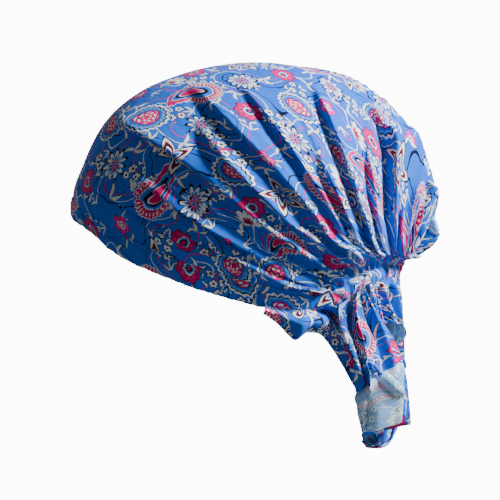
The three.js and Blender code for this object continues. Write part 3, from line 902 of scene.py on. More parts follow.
class Motif(Enum):
    """The figures of the print."""

    PAISLEY = Figure(
        10.0,
        (
            (0.03, Dye.ROSE), (0.1, Dye.WHITE), (0.33, Dye.NAVY), (0.56, Dye.BRIGHT), (0.61, Dye.WHITE),
            (0.66, Dye.CRIMSON), (0.98, Dye.ROSE), (1.04, Dye.WHITE), (1.1, Dye.ROYAL),
        ),
        tip=1.45, tip_width=0.46, curl=0.4, frill=30, frill_depth=0.05,
        seeds=Seeds(26, 20.0, 0.72, 0.9, Dye.WHITE, 0.2),
    )  # fmt: skip
    STRAWBERRY = Figure(
        11.0,
        (
            (0.5, Dye.ROSE), (0.55, Dye.CRIMSON), (0.66, Dye.ROYAL), (0.8, Dye.SKY), (0.88, Dye.NAVY),
            (1.0, Dye.WHITE), (1.08, Dye.ROYAL),
        ),
        tip=0.3, tip_width=0.6, frill=19, frill_depth=0.05,
        seeds=Seeds(7, 2.2, 0.05, 0.46, Dye.WHITE, 0.33),
    )  # fmt: skip
    DAISY = Figure(
        9.6,
        (
            (0.09, Dye.NAVY), (0.16, Dye.SKY), (0.28, Dye.PINK), (0.34, Dye.CRIMSON), (0.42, Dye.NAVY),
            (0.56, Dye.SKY), (0.86, Dye.WHITE), (1.05, Dye.NAVY),
        ),
        petals=11, waist=0.3, sharpness=0.8,
    )  # fmt: skip
    LILY = Figure(
        15.0,
        (
            (0.1, Dye.WHITE), (0.2, Dye.CRIMSON), (0.42, Dye.ROYAL), (0.52, Dye.WHITE), (0.62, Dye.NAVY),
            (0.74, Dye.CRIMSON), (0.93, Dye.CREAM), (1.02, Dye.NAVY), (1.08, Dye.ROYAL),
        ),
        petals=5, waist=0.34, sharpness=1.25, pointed=True, curl=0.22,
    )  # fmt: skip
    RING_FLOWER = Figure(
        8.2,
        (
            (0.14, Dye.ROSE), (0.24, Dye.NAVY), (0.34, Dye.SKY), (0.42, Dye.WHITE), (0.5, Dye.CRIMSON),
            (0.9, Dye.ROSE), (0.98, Dye.CRIMSON), (1.08, Dye.ROYAL),
        ),
        petals=8, waist=0.8, sharpness=0.8,
        seeds=Seeds(8, 8.2, 0.52, 0.86, Dye.PINK, 0.22),
    )  # fmt: skip
    PINK_ROSETTE = Figure(
        6.8,
        ((0.2, Dye.WHITE), (0.34, Dye.CRIMSON), (0.48, Dye.WHITE), (0.9, Dye.PINK), (1.0, Dye.CRIMSON)),
        petals=5, waist=0.62,
    )  # fmt: skip
    HALF_FLOWER = Figure(
        11.0,
        (
            (0.22, Dye.CRIMSON), (0.34, Dye.ROSE), (0.42, Dye.NAVY), (0.92, Dye.WHITE), (1.0, Dye.NAVY),
        ),
        petals=13, waist=0.5, sharpness=0.7, fan=1.35, curl=0.15,
    )  # fmt: skip
    LEAF_SPRIG = Figure(
        7.8, ((0.84, Dye.CREAM), (1.0, Dye.NAVY)),
        petals=7, waist=0.1, sharpness=1.7, pointed=True, fan=1.5, curl=0.5,
    )  # fmt: skip
    LEAF_PAIR = Figure(
        8.6, ((0.84, Dye.CREAM), (1.0, Dye.NAVY)),
        petals=4, waist=0.06, sharpness=1.8, pointed=True, fan=2.3, curl=0.8,
    )  # fmt: skip
    SMALL_FLOWER = Figure(
        2.8, ((0.34, Dye.NAVY), (0.9, Dye.WHITE), (1.1, Dye.NAVY)), petals=5, waist=0.58
    )


@dataclass(frozen=True)
class Printing:
    """One figure's place in the repeat, in millimetres, with its turn in degrees."""

    motif: Motif
    x: float
    y: float
    turn: float = 0.0


FLOWER_REPEAT = (124.0, 116.0)
FLOWER_CHART = (
    Printing(Motif.HALF_FLOWER, 57, 60, 120), Printing(Motif.HALF_FLOWER, 112, 44, 300),
    Printing(Motif.PAISLEY, 12, 18, 55), Printing(Motif.RING_FLOWER, 42, 12, 0),
    Printing(Motif.STRAWBERRY, 73, 18, 80), Printing(Motif.DAISY, 104, 12, 10),
    Printing(Motif.LILY, 0, 48, 15), Printing(Motif.DAISY, 30, 42, 0),
    Printing(Motif.PINK_ROSETTE, 58, 40, 20), Printing(Motif.STRAWBERRY, 91, 46, 250),
    Printing(Motif.STRAWBERRY, 18, 76, 60), Printing(Motif.RING_FLOWER, 45, 74, 50),
    Printing(Motif.PAISLEY, 76, 80, 235), Printing(Motif.DAISY, 106, 72, 30),
    Printing(Motif.PINK_ROSETTE, 4, 103, 20), Printing(Motif.LILY, 33, 101, 40),
    Printing(Motif.DAISY, 62, 103, 12), Printing(Motif.RING_FLOWER, 92, 103, 0),
)  # fmt: skip
SPRIG_REPEAT = (62.0, 58.0)
SPRIG_CHART = (
    Printing(Motif.LEAF_SPRIG, 0, 13, 80), Printing(Motif.LEAF_PAIR, 26, 27, 200),
    Printing(Motif.LEAF_PAIR, 14, 40, 330), Printing(Motif.LEAF_SPRIG, 46, 43, 150),
    Printing(Motif.LEAF_PAIR, 55, 0, 20), Printing(Motif.LEAF_SPRIG, 31, 12, 250),
    Printing(Motif.LEAF_PAIR, 44, 26, 110), Printing(Motif.LEAF_SPRIG, 3, 50, 20),
)  # fmt: skip
SMALL_REPEAT = (6.4, 5.9)
CLUSTER_REPEAT = (62.0, 58.0)
CLUSTERS = ((9.0, 27.0), (57.0, 20.0), (31.0, 0.0), (33.0, 43.0))
CLUSTER_RADIUS = 7.8


@dataclass(frozen=True)
class PrintedCotton:
    """Plain-woven cotton with the flower and paisley print on its face.

    Args:
        name: The finish's name.
        lay: The repeat's turn on the cloth, in degrees.
        wander: How far the hand-drawn lines stray, in millimetres.
        ground: The heights of noise at which the ground has each dye.
        stems: The heights of noise that the stems follow, and their dyes.
        stem_width: Half the stems' width, as a share of the noise's height.
        wander_scale: Lumps of noise per millimetre, for the straying of lines.
        ground_scale: The same for the ground.
        stem_scale: The same for the stems.
        crease_scale: The same for the fine creases.
        grain_scale: The same for the weave's grain.
        grain: The grain's height, for the creases'.
        fade: How far the reverse is paler than the face, from 0 to 1.
        pale: The colour that the reverse fades towards.
        crease_depth: How deep the fine creases look, in metres.
    """

    name: str = "printed_cotton"
    lay: float = 20.0
    wander: float = 1.3
    ground: tuple[tuple[float, Dye], ...] = ((0.35, Dye.ROYAL), (0.7, Dye.BRIGHT))
    stems: tuple[tuple[float, Dye], ...] = ((0.42, Dye.NAVY), (0.5, Dye.CREAM), (0.59, Dye.ROSE))
    stem_width: float = 0.0055
    wander_scale: float = 0.11
    ground_scale: float = 0.05
    stem_scale: float = 0.034
    crease_scale: float = 0.16
    grain_scale: float = 1.6
    grain: float = 0.12
    fade: float = 0.48
    pale: Colour = (0.5, 0.82, 1.0, 1.0)
    crease_depth: float = 0.0011

    def face(self) -> bpy.types.Material:
        """Gives the printed side."""
        return self.side("face", 0)

    def reverse(self) -> bpy.types.Material:
        """Gives the side where the print only shows through."""
        return self.side("reverse", self.fade)

    def side(self, side: str, fade: float) -> bpy.types.Material:
        """Gives one side's material, made at the first call.

        Args:
            side: The side's name.
            fade: How far its print is faded.

        Returns:
            The material.
        """
        name = f"{self.name}_{side}"
        if name in bpy.data.materials:
            return bpy.data.materials[name]
        inputs = {"Specular IOR Level": 0.15, "Sheen Weight": 0.03, "Sheen Roughness": 0.5}
        material = shaded(name, {"Roughness": 0.78, **inputs})
        printer = Printer(material.node_tree, self)
        colour = printer.pattern()
        if fade:
            colour = printer.mix(colour, self.pale, fade)
        shader = material.node_tree.nodes["Principled BSDF"]
        fill(shader, {"Base Color": colour, "Normal": printer.surface()})
        return material


@dataclass(frozen=True)
class Printer:
    """Builds the nodes of the print in one material's tree."""

    tree: bpy.types.NodeTree
    cotton: PrintedCotton
    RAMP_SPAN: ClassVar[float] = 1.4

    def add(self, kind: str, inputs: "Inputs", **options: str) -> bpy.types.Node:
        """Adds a node to the material's tree."""
        return add_node(self.tree, kind, inputs, **options)

    def place(self) -> Socket:
        """Reads the place on the unrolled cloth, in millimetres."""
        return self.add("UVMap", {}, uv_map=PRINT_PLACE).outputs["UV"]

    def noise(self, place: Socket, scale: float, detail: float) -> bpy.types.Node:
        """Adds a noise texture with so many lumps per millimetre and so many finer layers."""
        return self.add("TexNoise", {"Vector": place, "Scale": scale, "Detail": detail})

    def vector(self, operation: str, inputs: "Inputs") -> Socket:
        """Adds a Vector Math node."""
        return self.add("VectorMath", inputs, operation=operation).outputs["Vector"]

    def mix(self, under: Socket, over: "Socket | Colour", share: "Wire | float") -> Socket:
        """Lays one colour over another, as far as the share says."""
        inputs = {0: share, 6: under, 7: over}
        return self.add("Mix", inputs, data_type="RGBA").outputs[2]

    def pattern(self) -> Socket:
        """Prints the ground, the small figures and then the large ones.

        Returns:
            The print's colour.
        """
        cloth = self.cloth()
        colour = self.ground(cloth)
        gaps = [
            self.spot(cloth, Printing(Motif.SMALL_FLOWER, x, y), CLUSTER_REPEAT).reach
            for x, y in CLUSTERS
        ]
        near = gaps[0]
        for gap in gaps[1:]:
            near = near.math("MINIMUM", gap)
        small = self.spot(cloth, Printing(Motif.SMALL_FLOWER, 0, 0), SMALL_REPEAT)
        colour = self.stamp(colour, Motif.SMALL_FLOWER, small, near.below(CLUSTER_RADIUS))
        for chart, repeat in ((SPRIG_CHART, SPRIG_REPEAT), (FLOWER_CHART, FLOWER_REPEAT)):
            for printing in chart:
                spot = self.spot(cloth, printing, repeat)
                colour = self.stamp(colour, printing.motif, spot)
        return colour

    def cloth(self) -> Socket:
        """Reads the place on the cloth, turned to the repeat's lay and strayed a little.

        Returns:
            The place, in millimetres.
        """
        inputs = {"Vector": self.place(), "Angle": math.radians(self.cotton.lay)}
        turned = self.add("VectorRotate", inputs, rotation_type="Z_AXIS").outputs["Vector"]
        noise = self.noise(turned, self.cotton.wander_scale, 1).outputs["Color"]
        centred = self.vector("SUBTRACT", {0: noise, 1: (0.5, 0.5, 0.5)})
        stray = self.vector("SCALE", {0: centred, "Scale": 2 * self.cotton.wander})
        return self.vector("ADD", {0: turned, 1: stray})

    def ground(self, cloth: Socket) -> Socket:
        """Dyes the ground, and draws stems on it where a smooth noise crosses set heights.

        Args:
            cloth: The place on the cloth.

        Returns:
            The ground's colour.
        """
        mottle = self.noise(cloth, self.cotton.ground_scale, 2).outputs["Fac"]
        ramp = self.add("ValToRGB", {"Fac": mottle})
        for stop, (position, dye) in zip(ramp.color_ramp.elements, self.cotton.ground):
            stop.color = dye.colour()
            stop.position = position
        colour = ramp.outputs["Color"]
        height = Wire(self.noise(cloth, self.cotton.stem_scale, 0).outputs["Fac"])
        for level, dye in self.cotton.stems:
            on_stem = abs(height - level).below(self.cotton.stem_width)
            colour = self.mix(colour, dye.colour(), on_stem)
        return colour

    def spot(self, cloth: Socket, printing: Printing, repeat: tuple[float, float]) -> Spot:
        """Measures the cloth from the middle of the nearest print of one figure.

        Args:
            cloth: The place on the cloth.
            printing: The figure's place and turn.
            repeat: The repeat's width and height, in millimetres.

        Returns:
            The distance and the bearing, from -pi to pi.
        """
        half = (repeat[0] / 2, repeat[1] / 2, 1.0)
        offset = self.vector("SUBTRACT", {0: cloth, 1: (printing.x, printing.y, 0.0)})
        held = self.vector("WRAP", {0: offset, 1: half, 2: tuple(-part for part in half)})
        parts = self.add("SeparateXYZ", {0: held}).outputs
        x, y = Wire(parts["X"]), Wire(parts["Y"])
        reach = (x * x + y * y).math("SQRT")
        bearing = y.math("ARCTAN2", x) - math.radians(printing.turn)
        return Spot(reach, bearing.math("WRAP", math.pi, -math.pi))

    def stamp(
        self, under: Socket, motif: Motif, spot: Spot, within: Wire | None = None
    ) -> Socket:
        """Prints one figure over what is there.

        Args:
            under: The colour below.
            motif: The figure.
            spot: The place, seen from the figure's middle.
            within: Is 0 where the figure is left out, or None.

        Returns:
            The colour with the figure.
        """
        figure, seeds = motif.value, motif.value.seeds
        share = figure.share(spot)
        ramp = self.add("ValToRGB", {"Fac": share / self.RAMP_SPAN})
        ramp.color_ramp.interpolation = "CONSTANT"
        first, last = ramp.color_ramp.elements
        last.position = figure.rings[-1][0] / self.RAMP_SPAN
        last.color = (0.0, 0.0, 0.0, 0.0)
        first.position = 0
        first.color = figure.rings[0][1].colour()
        for (start, _), (_, dye) in zip(figure.rings, figure.rings[1:]):
            stop = ramp.color_ramp.elements.new(start / self.RAMP_SPAN)
            stop.color = dye.colour()
        mask = Wire(ramp.outputs["Alpha"])
        if within:
            mask = mask * within
        colour = self.mix(under, ramp.outputs["Color"], mask)
        if not seeds:
            return colour
        rounds = spot.reach / seeds.pitch
        across = rounds.math("FRACT") - 0.5
        shift = rounds.math("FLOOR") * 0.5
        round_it = (spot.bearing * (seeds.count / math.tau) + shift).math("FRACT") - 0.5
        speck = (across * across + round_it * round_it).below(seeds.cover**2)
        speck = speck * share.above(seeds.start) * share.below(seeds.end)
        return self.mix(colour, seeds.dye.colour(), speck)

    def surface(self) -> Socket:
        """Adds fine creases and the weave's grain.

        Returns:
            The bent normal.
        """
        place = self.place()
        creases = Wire(self.noise(place, self.cotton.crease_scale, 3).outputs["Fac"])
        grain = Wire(self.noise(place, self.cotton.grain_scale, 1).outputs["Fac"])
        height = creases + grain * self.cotton.grain
        inputs = {"Strength": 0.6, "Distance": self.cotton.crease_depth, "Height": height}
        return self.add("Bump", inputs).outputs["Normal"]


@dataclass(frozen=True)
class Thread:
    """Sewing thread in the cloth's colour, or a little paler."""

    name: str = "sewing_thread"
    dye: Dye = Dye.SKY
    roughness: float = 0.6

    def material(self) -> bpy.types.Material:
        """Gives the thread's material."""
        values = {"Base Color": self.dye.colour(), "Roughness": self.roughness}
        return bpy.data.materials.get(self.name) or shaded(self.name, values)


# ---- Sheets ----------------------------------------------------------------------------------
def make_piece(bm: bmesh.types.BMesh, name: str) -> bpy.types.Object:
    """Turns a bmesh into a smooth piece of the scene, and frees it.

    Args:
        bm: The bmesh.
        name: The piece's name.

    Returns:
        The piece.
    """
    for face in bm.faces:
        face.smooth = True
    mesh = bpy.data.meshes.new(name)
    bm.to_mesh(mesh)
    bm.free()
    piece = bpy.data.objects.new(name, mesh)
    bpy.context.scene.collection.objects.link(piece)
    return piece


@dataclass(frozen=True)
class Cut:
    """Where a piece was cut from the printed cloth, by its middle, in millimetres and degrees."""

    x: float = 0.0
    y: float = 0.0
    turn: float = 0.0

    def places(self, points: Grid) -> Grid:
        """Unrolls a piece by its lengths across and along.

        Args:
            points: The piece's grid of points.

        Returns:
            Two coordinates on the print for each point.
        """
        across, along = arc_lengths(points, 1), arc_lengths(points, 0)
        rows, columns = points.shape[:2]
        across = across - across[:, columns // 2, None]
        along = along - along[rows // 2]
        angle = math.radians(self.turn)
        x = across * math.cos(angle) - along * math.sin(angle) + self.x
        y = across * math.sin(angle) + along * math.cos(angle) + self.y
        return np.stack([x, y], axis=-1)


@dataclass(frozen=True, kw_only=True)
class Panel:
    """A sub-assembly that is one sheet of cloth, made as a grid of points.

    Args:
        finish: The cloth's finish, for its face and its reverse.
        slot: The name of a material slot; not used.
        wall: The sheet's thickness, in millimetres.
        cut: Where it was cut from the printed cloth.
        turned: Whether it shows its reverse.
    """

    finish: PrintedCotton = PrintedCotton()
    slot: str = "printed_cotton"
    wall: float = 0.8
    cut: Cut = Cut()
    turned: bool = False

    def sew(
        self, name: str, points: Grid, inside: Vector | None = None, prints: Grid | None = None
    ) -> bpy.types.Object:
        """Makes the mesh, gives it its wall and dresses it.

        Args:
            name: The piece's name.
            points: The face of the cloth, in millimetres.
            inside: A point that the printed face looks away from, or None for a cloth that wraps
                round its own middle line.
            prints: Each point's two coordinates on the print, or None for those of the cut.

        Returns:
            The finished piece.
        """
        rows, columns = points.shape[:2]
        prints = self.cut.places(points) if prints is None else prints
        bm = bmesh.new()
        bmesh.ops.create_grid(bm, x_segments=columns - 1, y_segments=rows - 1, size=0.5)
        bm.verts.index_update()
        places = {}
        for vert in bm.verts:
            column = round((vert.co.x + 0.5) * (columns - 1))
            row = round((vert.co.y + 0.5) * (rows - 1))
            places[vert.index] = (row, column)
            vert.co = Vector(points[row, column]) * MM
        layer = bm.loops.layers.uv.new(PRINT_PLACE)
        for face in bm.faces:
            for loop in face.loops:
                loop[layer].uv = prints[places[loop.vert.index]]
        bm.normal_update()
        middles = points.mean(axis=0)
        outward = 0
        for face in bm.faces:
            middle = inside or Vector(middles[places[face.verts[0].index][1]])
            outward += face.normal.dot(face.calc_center_median() - middle * MM) > 0
        if outward * 2 < len(bm.faces):
            bmesh.ops.reverse_faces(bm, faces=bm.faces)
        piece = make_piece(bm, name)
        shown, hidden = self.finish.face(), self.finish.reverse()
        if self.turned:
            shown, hidden = hidden, shown
        piece.data.materials.append(shown)
        piece.data.materials.append(hidden)
        wall = piece.modifiers.new("wall", "SOLIDIFY")
        wall.thickness = self.wall * MM
        wall.offset = -1
        wall.material_offset = 1
        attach(piece, BODY)
        LOG.info("%s: %d by %d cells", name, columns - 1, rows - 1)
        return piece


# ---- Sub-assemblies --------------------------------------------------------------------------
HEAD_MIDDLE = Vector((0, 0, -90))
STITCHED_SHARES = (0.01, 0.99)


@dataclass(frozen=True, kw_only=True)
class Crown(Panel):
    """The cap's one large panel, pleated into a gather seam behind each ear."""

    layout: StripLayout = StripLayout()
    across: int = 230
    along: int = 200
    crowding: float = 1.12  # above 1, columns stand closer near the gathers
    stand: float = 1.6  # the face's height over the folds' lift
    nape_tuck: float = 0.011  # how far the nape edge goes down inside the casing, in ranks
    seam_tuck: float = 3.2  # how far the gathered edges go down inside it, in millimetres
    brow_tuck: float = 2.2  # how far the front edge goes down inside the band, in millimetres
    tucked_rank: float = 0.012  # the rank up to which the front edge is tucked in
    tucked_swing: float = 0.975  # the swing past which a gathered edge is tucked in
    cut: Cut = Cut(6, 0, 0)
    flat: tuple[float, float] = (0.34, 0.29)

    def build(self) -> None:
        """Builds and dresses the panel."""
        u, rank = shares(self.across, self.along)
        swing = 2 * u - 1
        swing = np.sign(swing) * (1 - (1 - np.abs(swing)) ** self.crowding)
        folds = CrownFolds(self.layout)
        bare = self.layout.place(swing, rank * (1 + self.nape_tuck))
        normals = self.layout.form.normal(bare)
        points = bare + folds.shift(bare, normals, swing, rank) + normals * self.stand
        down = CreaseFrame(self.layout).frames(swing[0]).down
        tuck = self.brow_tuck * (1 - ease(0, self.tucked_rank, rank))
        points = points + down * tuck[..., None]
        tuck = self.seam_tuck * ease(self.tucked_swing, 1, np.abs(swing))
        points[..., 2] -= tuck * ease(0, 0.1, rank)
        across = arc_lengths(bare, 1)
        across = across - across[:, self.across // 2, None] + self.cut.x
        along = folds.print_rows(points, swing, rank) + self.cut.y
        places = np.stack([across, along], axis=-1)
        piece = self.sew("crown_panel", points, HEAD_MIDDLE, places)
        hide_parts("crown")


def fold_section(share: Grid, boxiness: float) -> tuple[Grid, Grid]:
    """The outline of a folded strip, from its top edge down its face and up its back.

    Args:
        share: From 0 to 1, once round.
        boxiness: The power of the rounded outline, 2 for an oval and more for a flatter one.

    Returns:
        The share of the strip's height from the top, and of its thickness from the back.
    """
    deep, out = -np.cos(math.tau * share), np.sin(math.tau * share)
    deep = np.sign(deep) * np.abs(deep) ** (2 / boxiness)
    out = np.sign(out) * np.abs(out) ** (2 / boxiness)
    return (1 + deep) / 2, (1 + out) / 2


@dataclass(frozen=True, kw_only=True)
class FrontBand(Panel):
    """The folded band over the brow, puckered where it is sewn to the crown."""

    crease: CreaseFrame = CreaseFrame()
    across: int = 400
    around: int = 52
    gap: float = 0.3
    back: float = 0.15
    stand: float = 2.4
    swell: float = 0.7
    boxiness: float = 4.5
    pucker: float = 0.4
    pucker_drop: float = 0.35
    seam_at: float = 0.14
    seam_dent: float = 0.55
    stitched_swing: float = 0.985
    stitch_steps: int = 600
    cut: Cut = Cut(0, -150, 3)
    flat: tuple[float, float] = (0.35, 0.034)

    def points(self, swing: Grid, v: Grid, w: Grid) -> Grid:
        """Gives points of the folded band.

        Args:
            swing: From -1 to 1.
            v: From 0 at the crease to 1 at the lower edge.
            w: From 0 on the back to 1 on the face.

        Returns:
            Points, in millimetres.
        """
        puckers = soft_noise(swing * 38 + 50, v * 1.4, 21)
        puckers = puckers + 0.6 * soft_noise(swing * 95 + 90, v * 2, 22)
        near_seam = 0.25 + 0.75 * bell(v - self.seam_at, 0.3) + 0.5 * bell(v - 1, 0.2)
        dents = self.swell * np.sin(math.pi * v) - self.seam_dent * bell(v - self.seam_at, 0.07)
        rise = self.back + (self.stand - self.back) * w
        rise = rise + ease(0.5, 1, w) * (dents + self.pucker * puckers * near_seam)
        drop = self.gap + v * self.crease.height(swing)
        drop = drop + self.pucker_drop * puckers * ease(0.6, 1, v)
        return self.crease.frames(swing).at(drop, rise)

    def build(self) -> None:
        """Builds and dresses the band."""
        u, share = shares(self.across, self.around)
        points = self.points(2 * u - 1, *fold_section(share, self.boxiness))
        piece = self.sew("front_band_fold", points)
        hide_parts("front_band")

    def stitch_line(self) -> Grid:
        """Gives the row of stitches that holds the fold."""
        swing = np.linspace(-self.stitched_swing, self.stitched_swing, self.stitch_steps)
        return self.points(swing, np.full_like(swing, self.seam_at), np.ones_like(swing))


@dataclass(frozen=True, kw_only=True)
class NapeCasing(Panel):
    """The ruched casing with the elastic in it, down both gather seams and round the nape."""

    path: SeamPath = SeamPath()
    start: float = 0.004
    across: int = 520
    around: int = 44
    gap: float = 0.3
    height: float = 9.0
    back: float = 0.15
    stand: float = 3.0
    ribs: float = 36.0
    rib_height: float = 2.0
    rib_drop: float = 0.7
    swell: float = 0.9
    boxiness: float = 3.6
    stitches_at: float = 0.12
    stitch_steps: int = 700
    slot: str = "casing_cotton"
    cut: Cut = Cut(40, 200, 12)
    flat: tuple[float, float] = (0.22, 0.021)

    def points(self, u: Grid, v: Grid, w: Grid) -> Grid:
        """Gives points of the folded casing.

        Args:
            u: From 0 at the left end to 1 at the right one.
            v: From 0 at the seam to 1 at the lower edge.
            w: From 0 on the back to 1 on the face.

        Returns:
            Points, in millimetres.
        """
        place = self.start + u * (1 - 2 * self.start)
        drift = 1.1 * soft_noise(place * 9, v * 0.8, 31) + 0.25 * soft_noise(place * 30, v * 2, 32)
        rib = np.abs(np.sin(math.pi * (self.ribs * place + drift)))
        height = self.rib_height * (0.6 + 0.4 * soft_noise(place * 17, v * 0.5 + 4, 33))
        arch = np.clip(np.sin(math.pi * v), 0, 1) ** 0.6
        rise = self.back + (self.stand - self.back) * w
        rise = rise + ease(0.5, 1, w) * (height * (rib - 0.5) + self.swell) * arch
        drop = self.gap + v * self.height + self.rib_drop * (rib - 0.5) * (v - 0.2)
        return self.path.frames(place).at(drop, rise)

    def build(self) -> None:
        """Builds and dresses the casing."""
        u, share = shares(self.across, self.around)
        points = self.points(u, *fold_section(share, self.boxiness))
        piece = self.sew("nape_casing", points)
        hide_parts("nape_elastic")

    def stitch_line(self) -> Grid:
        """Gives the row of stitches under the casing's seam."""
        u = np.linspace(*STITCHED_SHARES, self.stitch_steps)
        return self.points(u, np.full_like(u, self.stitches_at), np.ones_like(u))


@dataclass(frozen=True, kw_only=True)
class NapeSkirt(Panel):
    """The loose cloth that falls from the casing over the nape.

    Its waves are given by count, height and phase, and its valleys by place, width and depth.
    """

    path: SeamPath = SeamPath()
    start: float = 0.15
    end: float = 0.885
    across: int = 260
    along: int = 90
    seam_drop: float = 8.0
    stand: float = 1.5
    full_at: float = 0.4
    waves: tuple[tuple[float, float, float], ...] = ((4.3, 0.6, 1.2), (11, 1.9, 0.4), (19, 1.0, 0.25))
    valleys: tuple[tuple[float, float, float], ...] = (
        (0.035, 0.009, 4.0), (0.075, 0.011, 5.0), (0.125, 0.01, 4.2), (0.17, 0.013, 5.0),
        (0.235, 0.014, 3.6), (0.3, 0.02, 3.0), (0.37, 0.016, 2.4), (0.47, 0.024, 3.4),
        (0.59, 0.016, 2.2), (0.7, 0.026, 5.2), (0.8, 0.014, 2.4), (0.945, 0.026, 6.5),
    )  # fmt: skip
    hem: Table = Table(
        ("place", "drop", "flare"),
        (
            (0, 24, 6), (0.12, 27, 7), (0.22, 31, 5), (0.3, 56, 3), (0.38, 70, 0), (0.5, 82, -4),
            (0.64, 80, -5), (0.82, 71, -5), (0.93, 67, -3), (1, 51, 0),
        ),
    )  # fmt: skip
    hem_rise: float = 0.9
    stitches_at: float = 0.94
    stitch_steps: int = 500
    cut: Cut = Cut(-30, 90, -8)
    flat: tuple[float, float] = (0.2, 0.06)

    def points(self, u: Grid, v: Grid) -> Grid:
        """Gives points of the skirt's face.

        Args:
            u: From 0 at the left end to 1 at the right one.
            v: From 0 at the casing to 1 at the hem.

        Returns:
            Points, in millimetres.
        """
        lean = 0.075 * v * soft_noise(u * 4 + 1, v * 1.2 + 2, 41)
        waves = sum(
            height * np.sin(math.tau * count * (u + lean) + phase)
            for count, height, phase in self.waves
        )
        waves = waves + 1.8 * soft_noise(u * 14 + 3, v * 1.6, 42) + 0.5 * soft_noise(u * 40, v * 5, 43)
        for place, width, depth in self.valleys:
            widening = width * (0.75 + 0.5 * v)
            waves = waves - depth * bell(u + lean - place, widening) * ease(0.02, 0.3, v)
            waves = waves + 0.5 * depth * bell(u + lean - place - 2 * widening, widening)
        top = 0.9 * np.abs(np.sin(math.tau * 15 * u + 2 * soft_noise(u * 9, v, 44)))
        rise = self.hem.read("flare", u) * v + waves * ease(0, self.full_at, v)
        rise = rise + top * bell(v, 0.3) + self.hem_rise * ease(0.93, 0.96, v)
        drop = self.hem.read("drop", u) * v + 1.2 * v * soft_noise(u * 11, v * 0, 45)
        falling = np.stack([np.zeros_like(u), np.zeros_like(u), -drop], axis=-1)
        frames = self.path.frames(self.start + u * (self.end - self.start))
        sewn = frames.at(self.seam_drop, self.stand + self.wall)
        return sewn + frames.outward() * rise[..., None] + falling

    def build(self) -> None:
        """Builds and dresses the skirt."""
        points = self.points(*shares(self.across, self.along))
        piece = self.sew("nape_skirt_sheet", points, HEAD_MIDDLE)
        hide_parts("nape_skirt")

    def stitch_line(self) -> Grid:
        """Gives the row of stitches along the hem."""
        u = np.linspace(*STITCHED_SHARES, self.stitch_steps)
        return self.points(u, np.full_like(u, self.stitches_at))


@dataclass(frozen=True, kw_only=True)
class Sash(Panel):
    """The rolled and twisted cloth under the skirt's hem, rising to the right."""

    line: Table = Table(
        ("place", "x", "y", "z", "roll"),
        (
            (0, 48, 77, -231.5, 8.5), (0.14, 39, 86, -231, 8), (0.28, 24, 90, -227.5, 7.5),
            (0.43, 6, 94, -222.5, 7.5), (0.57, -14, 95, -218.5, 7.5), (0.72, -32, 93, -210.5, 6.5),
            (0.86, -48, 85, -200, 5), (1, -60, 73, -191, 3),
        ),
    )  # fmt: skip
    across: int = 170
    round_steps: int = 110
    step: float = 0.004
    turns: float = 1.7
    core: float = 0.42  # the roll's inner and outer reach, as shares of the line's roll
    rim: float = 0.94
    flattened: float = 0.62
    swell_upward: float = 1.45  # how far the upper half is pushed up against the skirt
    twist: float = 2.5 * math.pi
    wall: float = 0.7
    creases: tuple[tuple[float, float, float], ...] = ((3, 0.9, 0.4), (5, 0.6, 2.2), (9, 0.35, 1.0))
    slot: str = "sash_cotton"
    cut: Cut = Cut(70, -60, 85)
    flat: tuple[float, float] = (0.14, 0.045)

    def points(self) -> Grid:
        """Gives the rolled cloth's points, in millimetres.

        Returns:
            A grid with a row for each step round the roll.
        """
        u, turn_share = shares(self.across, self.round_steps)
        line = self.line.point(u)
        ahead = self.line.point(np.minimum(u + self.step, 1))
        along = unit(ahead - self.line.point(np.maximum(u - self.step, 0)))
        level = unit(np.cross(along, np.array([0, 0, 1.0])))
        upward = unit(np.cross(level, along))
        angle = turn_share * self.turns * math.tau
        reach = self.line.read("roll", u) * (self.core + (self.rim - self.core) * turn_share)
        for count, height, phase in self.creases:
            reach = reach + height * turn_share * np.sin(count * angle + phase + 5 * u)
        reach = reach + 0.7 * soft_noise(u * 9, turn_share * 7, 51)
        lean = self.twist * u
        wide, high = reach * np.cos(angle), reach * np.sin(angle) * self.flattened
        side = wide * np.cos(lean) - high * np.sin(lean)
        rise = wide * np.sin(lean) + high * np.cos(lean)
        rise = np.where(rise > 0, rise * self.swell_upward, rise)
        return line + level * side[..., None] + upward * rise[..., None]

    def build(self) -> None:
        """Builds and dresses the sash."""
        piece = self.sew("nape_sash_roll", self.points())
        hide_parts("nape_sash")


class Side(Enum):
    """The wearer's left and right."""

    LEFT = 1
    RIGHT = -1

    def word(self) -> str:
        """Gives the side as the names of pieces have it."""
        return self.name.lower()


def tail_lines(*lines: tuple[tuple[float, float, float], ...]) -> tuple[Table, ...]:
    """Sets out a tail's inner edge, folded ridge and back edge.

    Args:
        lines: Each line's points at even steps from the seam to the tip.

    Returns:
        The lines.
    """
    drops = (0, 0.25, 0.5, 0.75, 1)
    rows = [tuple((drop, *point) for drop, point in zip(drops, line)) for line in lines]
    return tuple(Table(("drop", "x", "y", "z"), line) for line in rows)


LEFT_TAIL = tail_lines(
    ((52, 73, -146), (40, 78, -164), (29, 84, -186), (34, 83, -206), (43, 82, -221)),
    ((65, 53, -153), (71, 61, -169), (73, 69, -190), (66, 71, -209), (54, 73, -223.4)),
    ((61, 74, -146), (58, 89, -166), (60, 97, -187), (54, 100, -204), (46, 102, -217.5)),
)
RIGHT_TAIL = tail_lines(
    ((-57, 68, -148), (-67, 76, -168), (-74, 85, -188), (-79, 90, -205), (-82, 92, -215)),
    ((-63, 62, -151), (-77, 70, -169), (-85, 78, -188), (-90, 82, -205), (-95, 84, -213)),
    ((-66, 54, -153), (-83, 61, -168), (-92, 69, -185), (-99, 72, -198), (-107, 74, -204)),
)


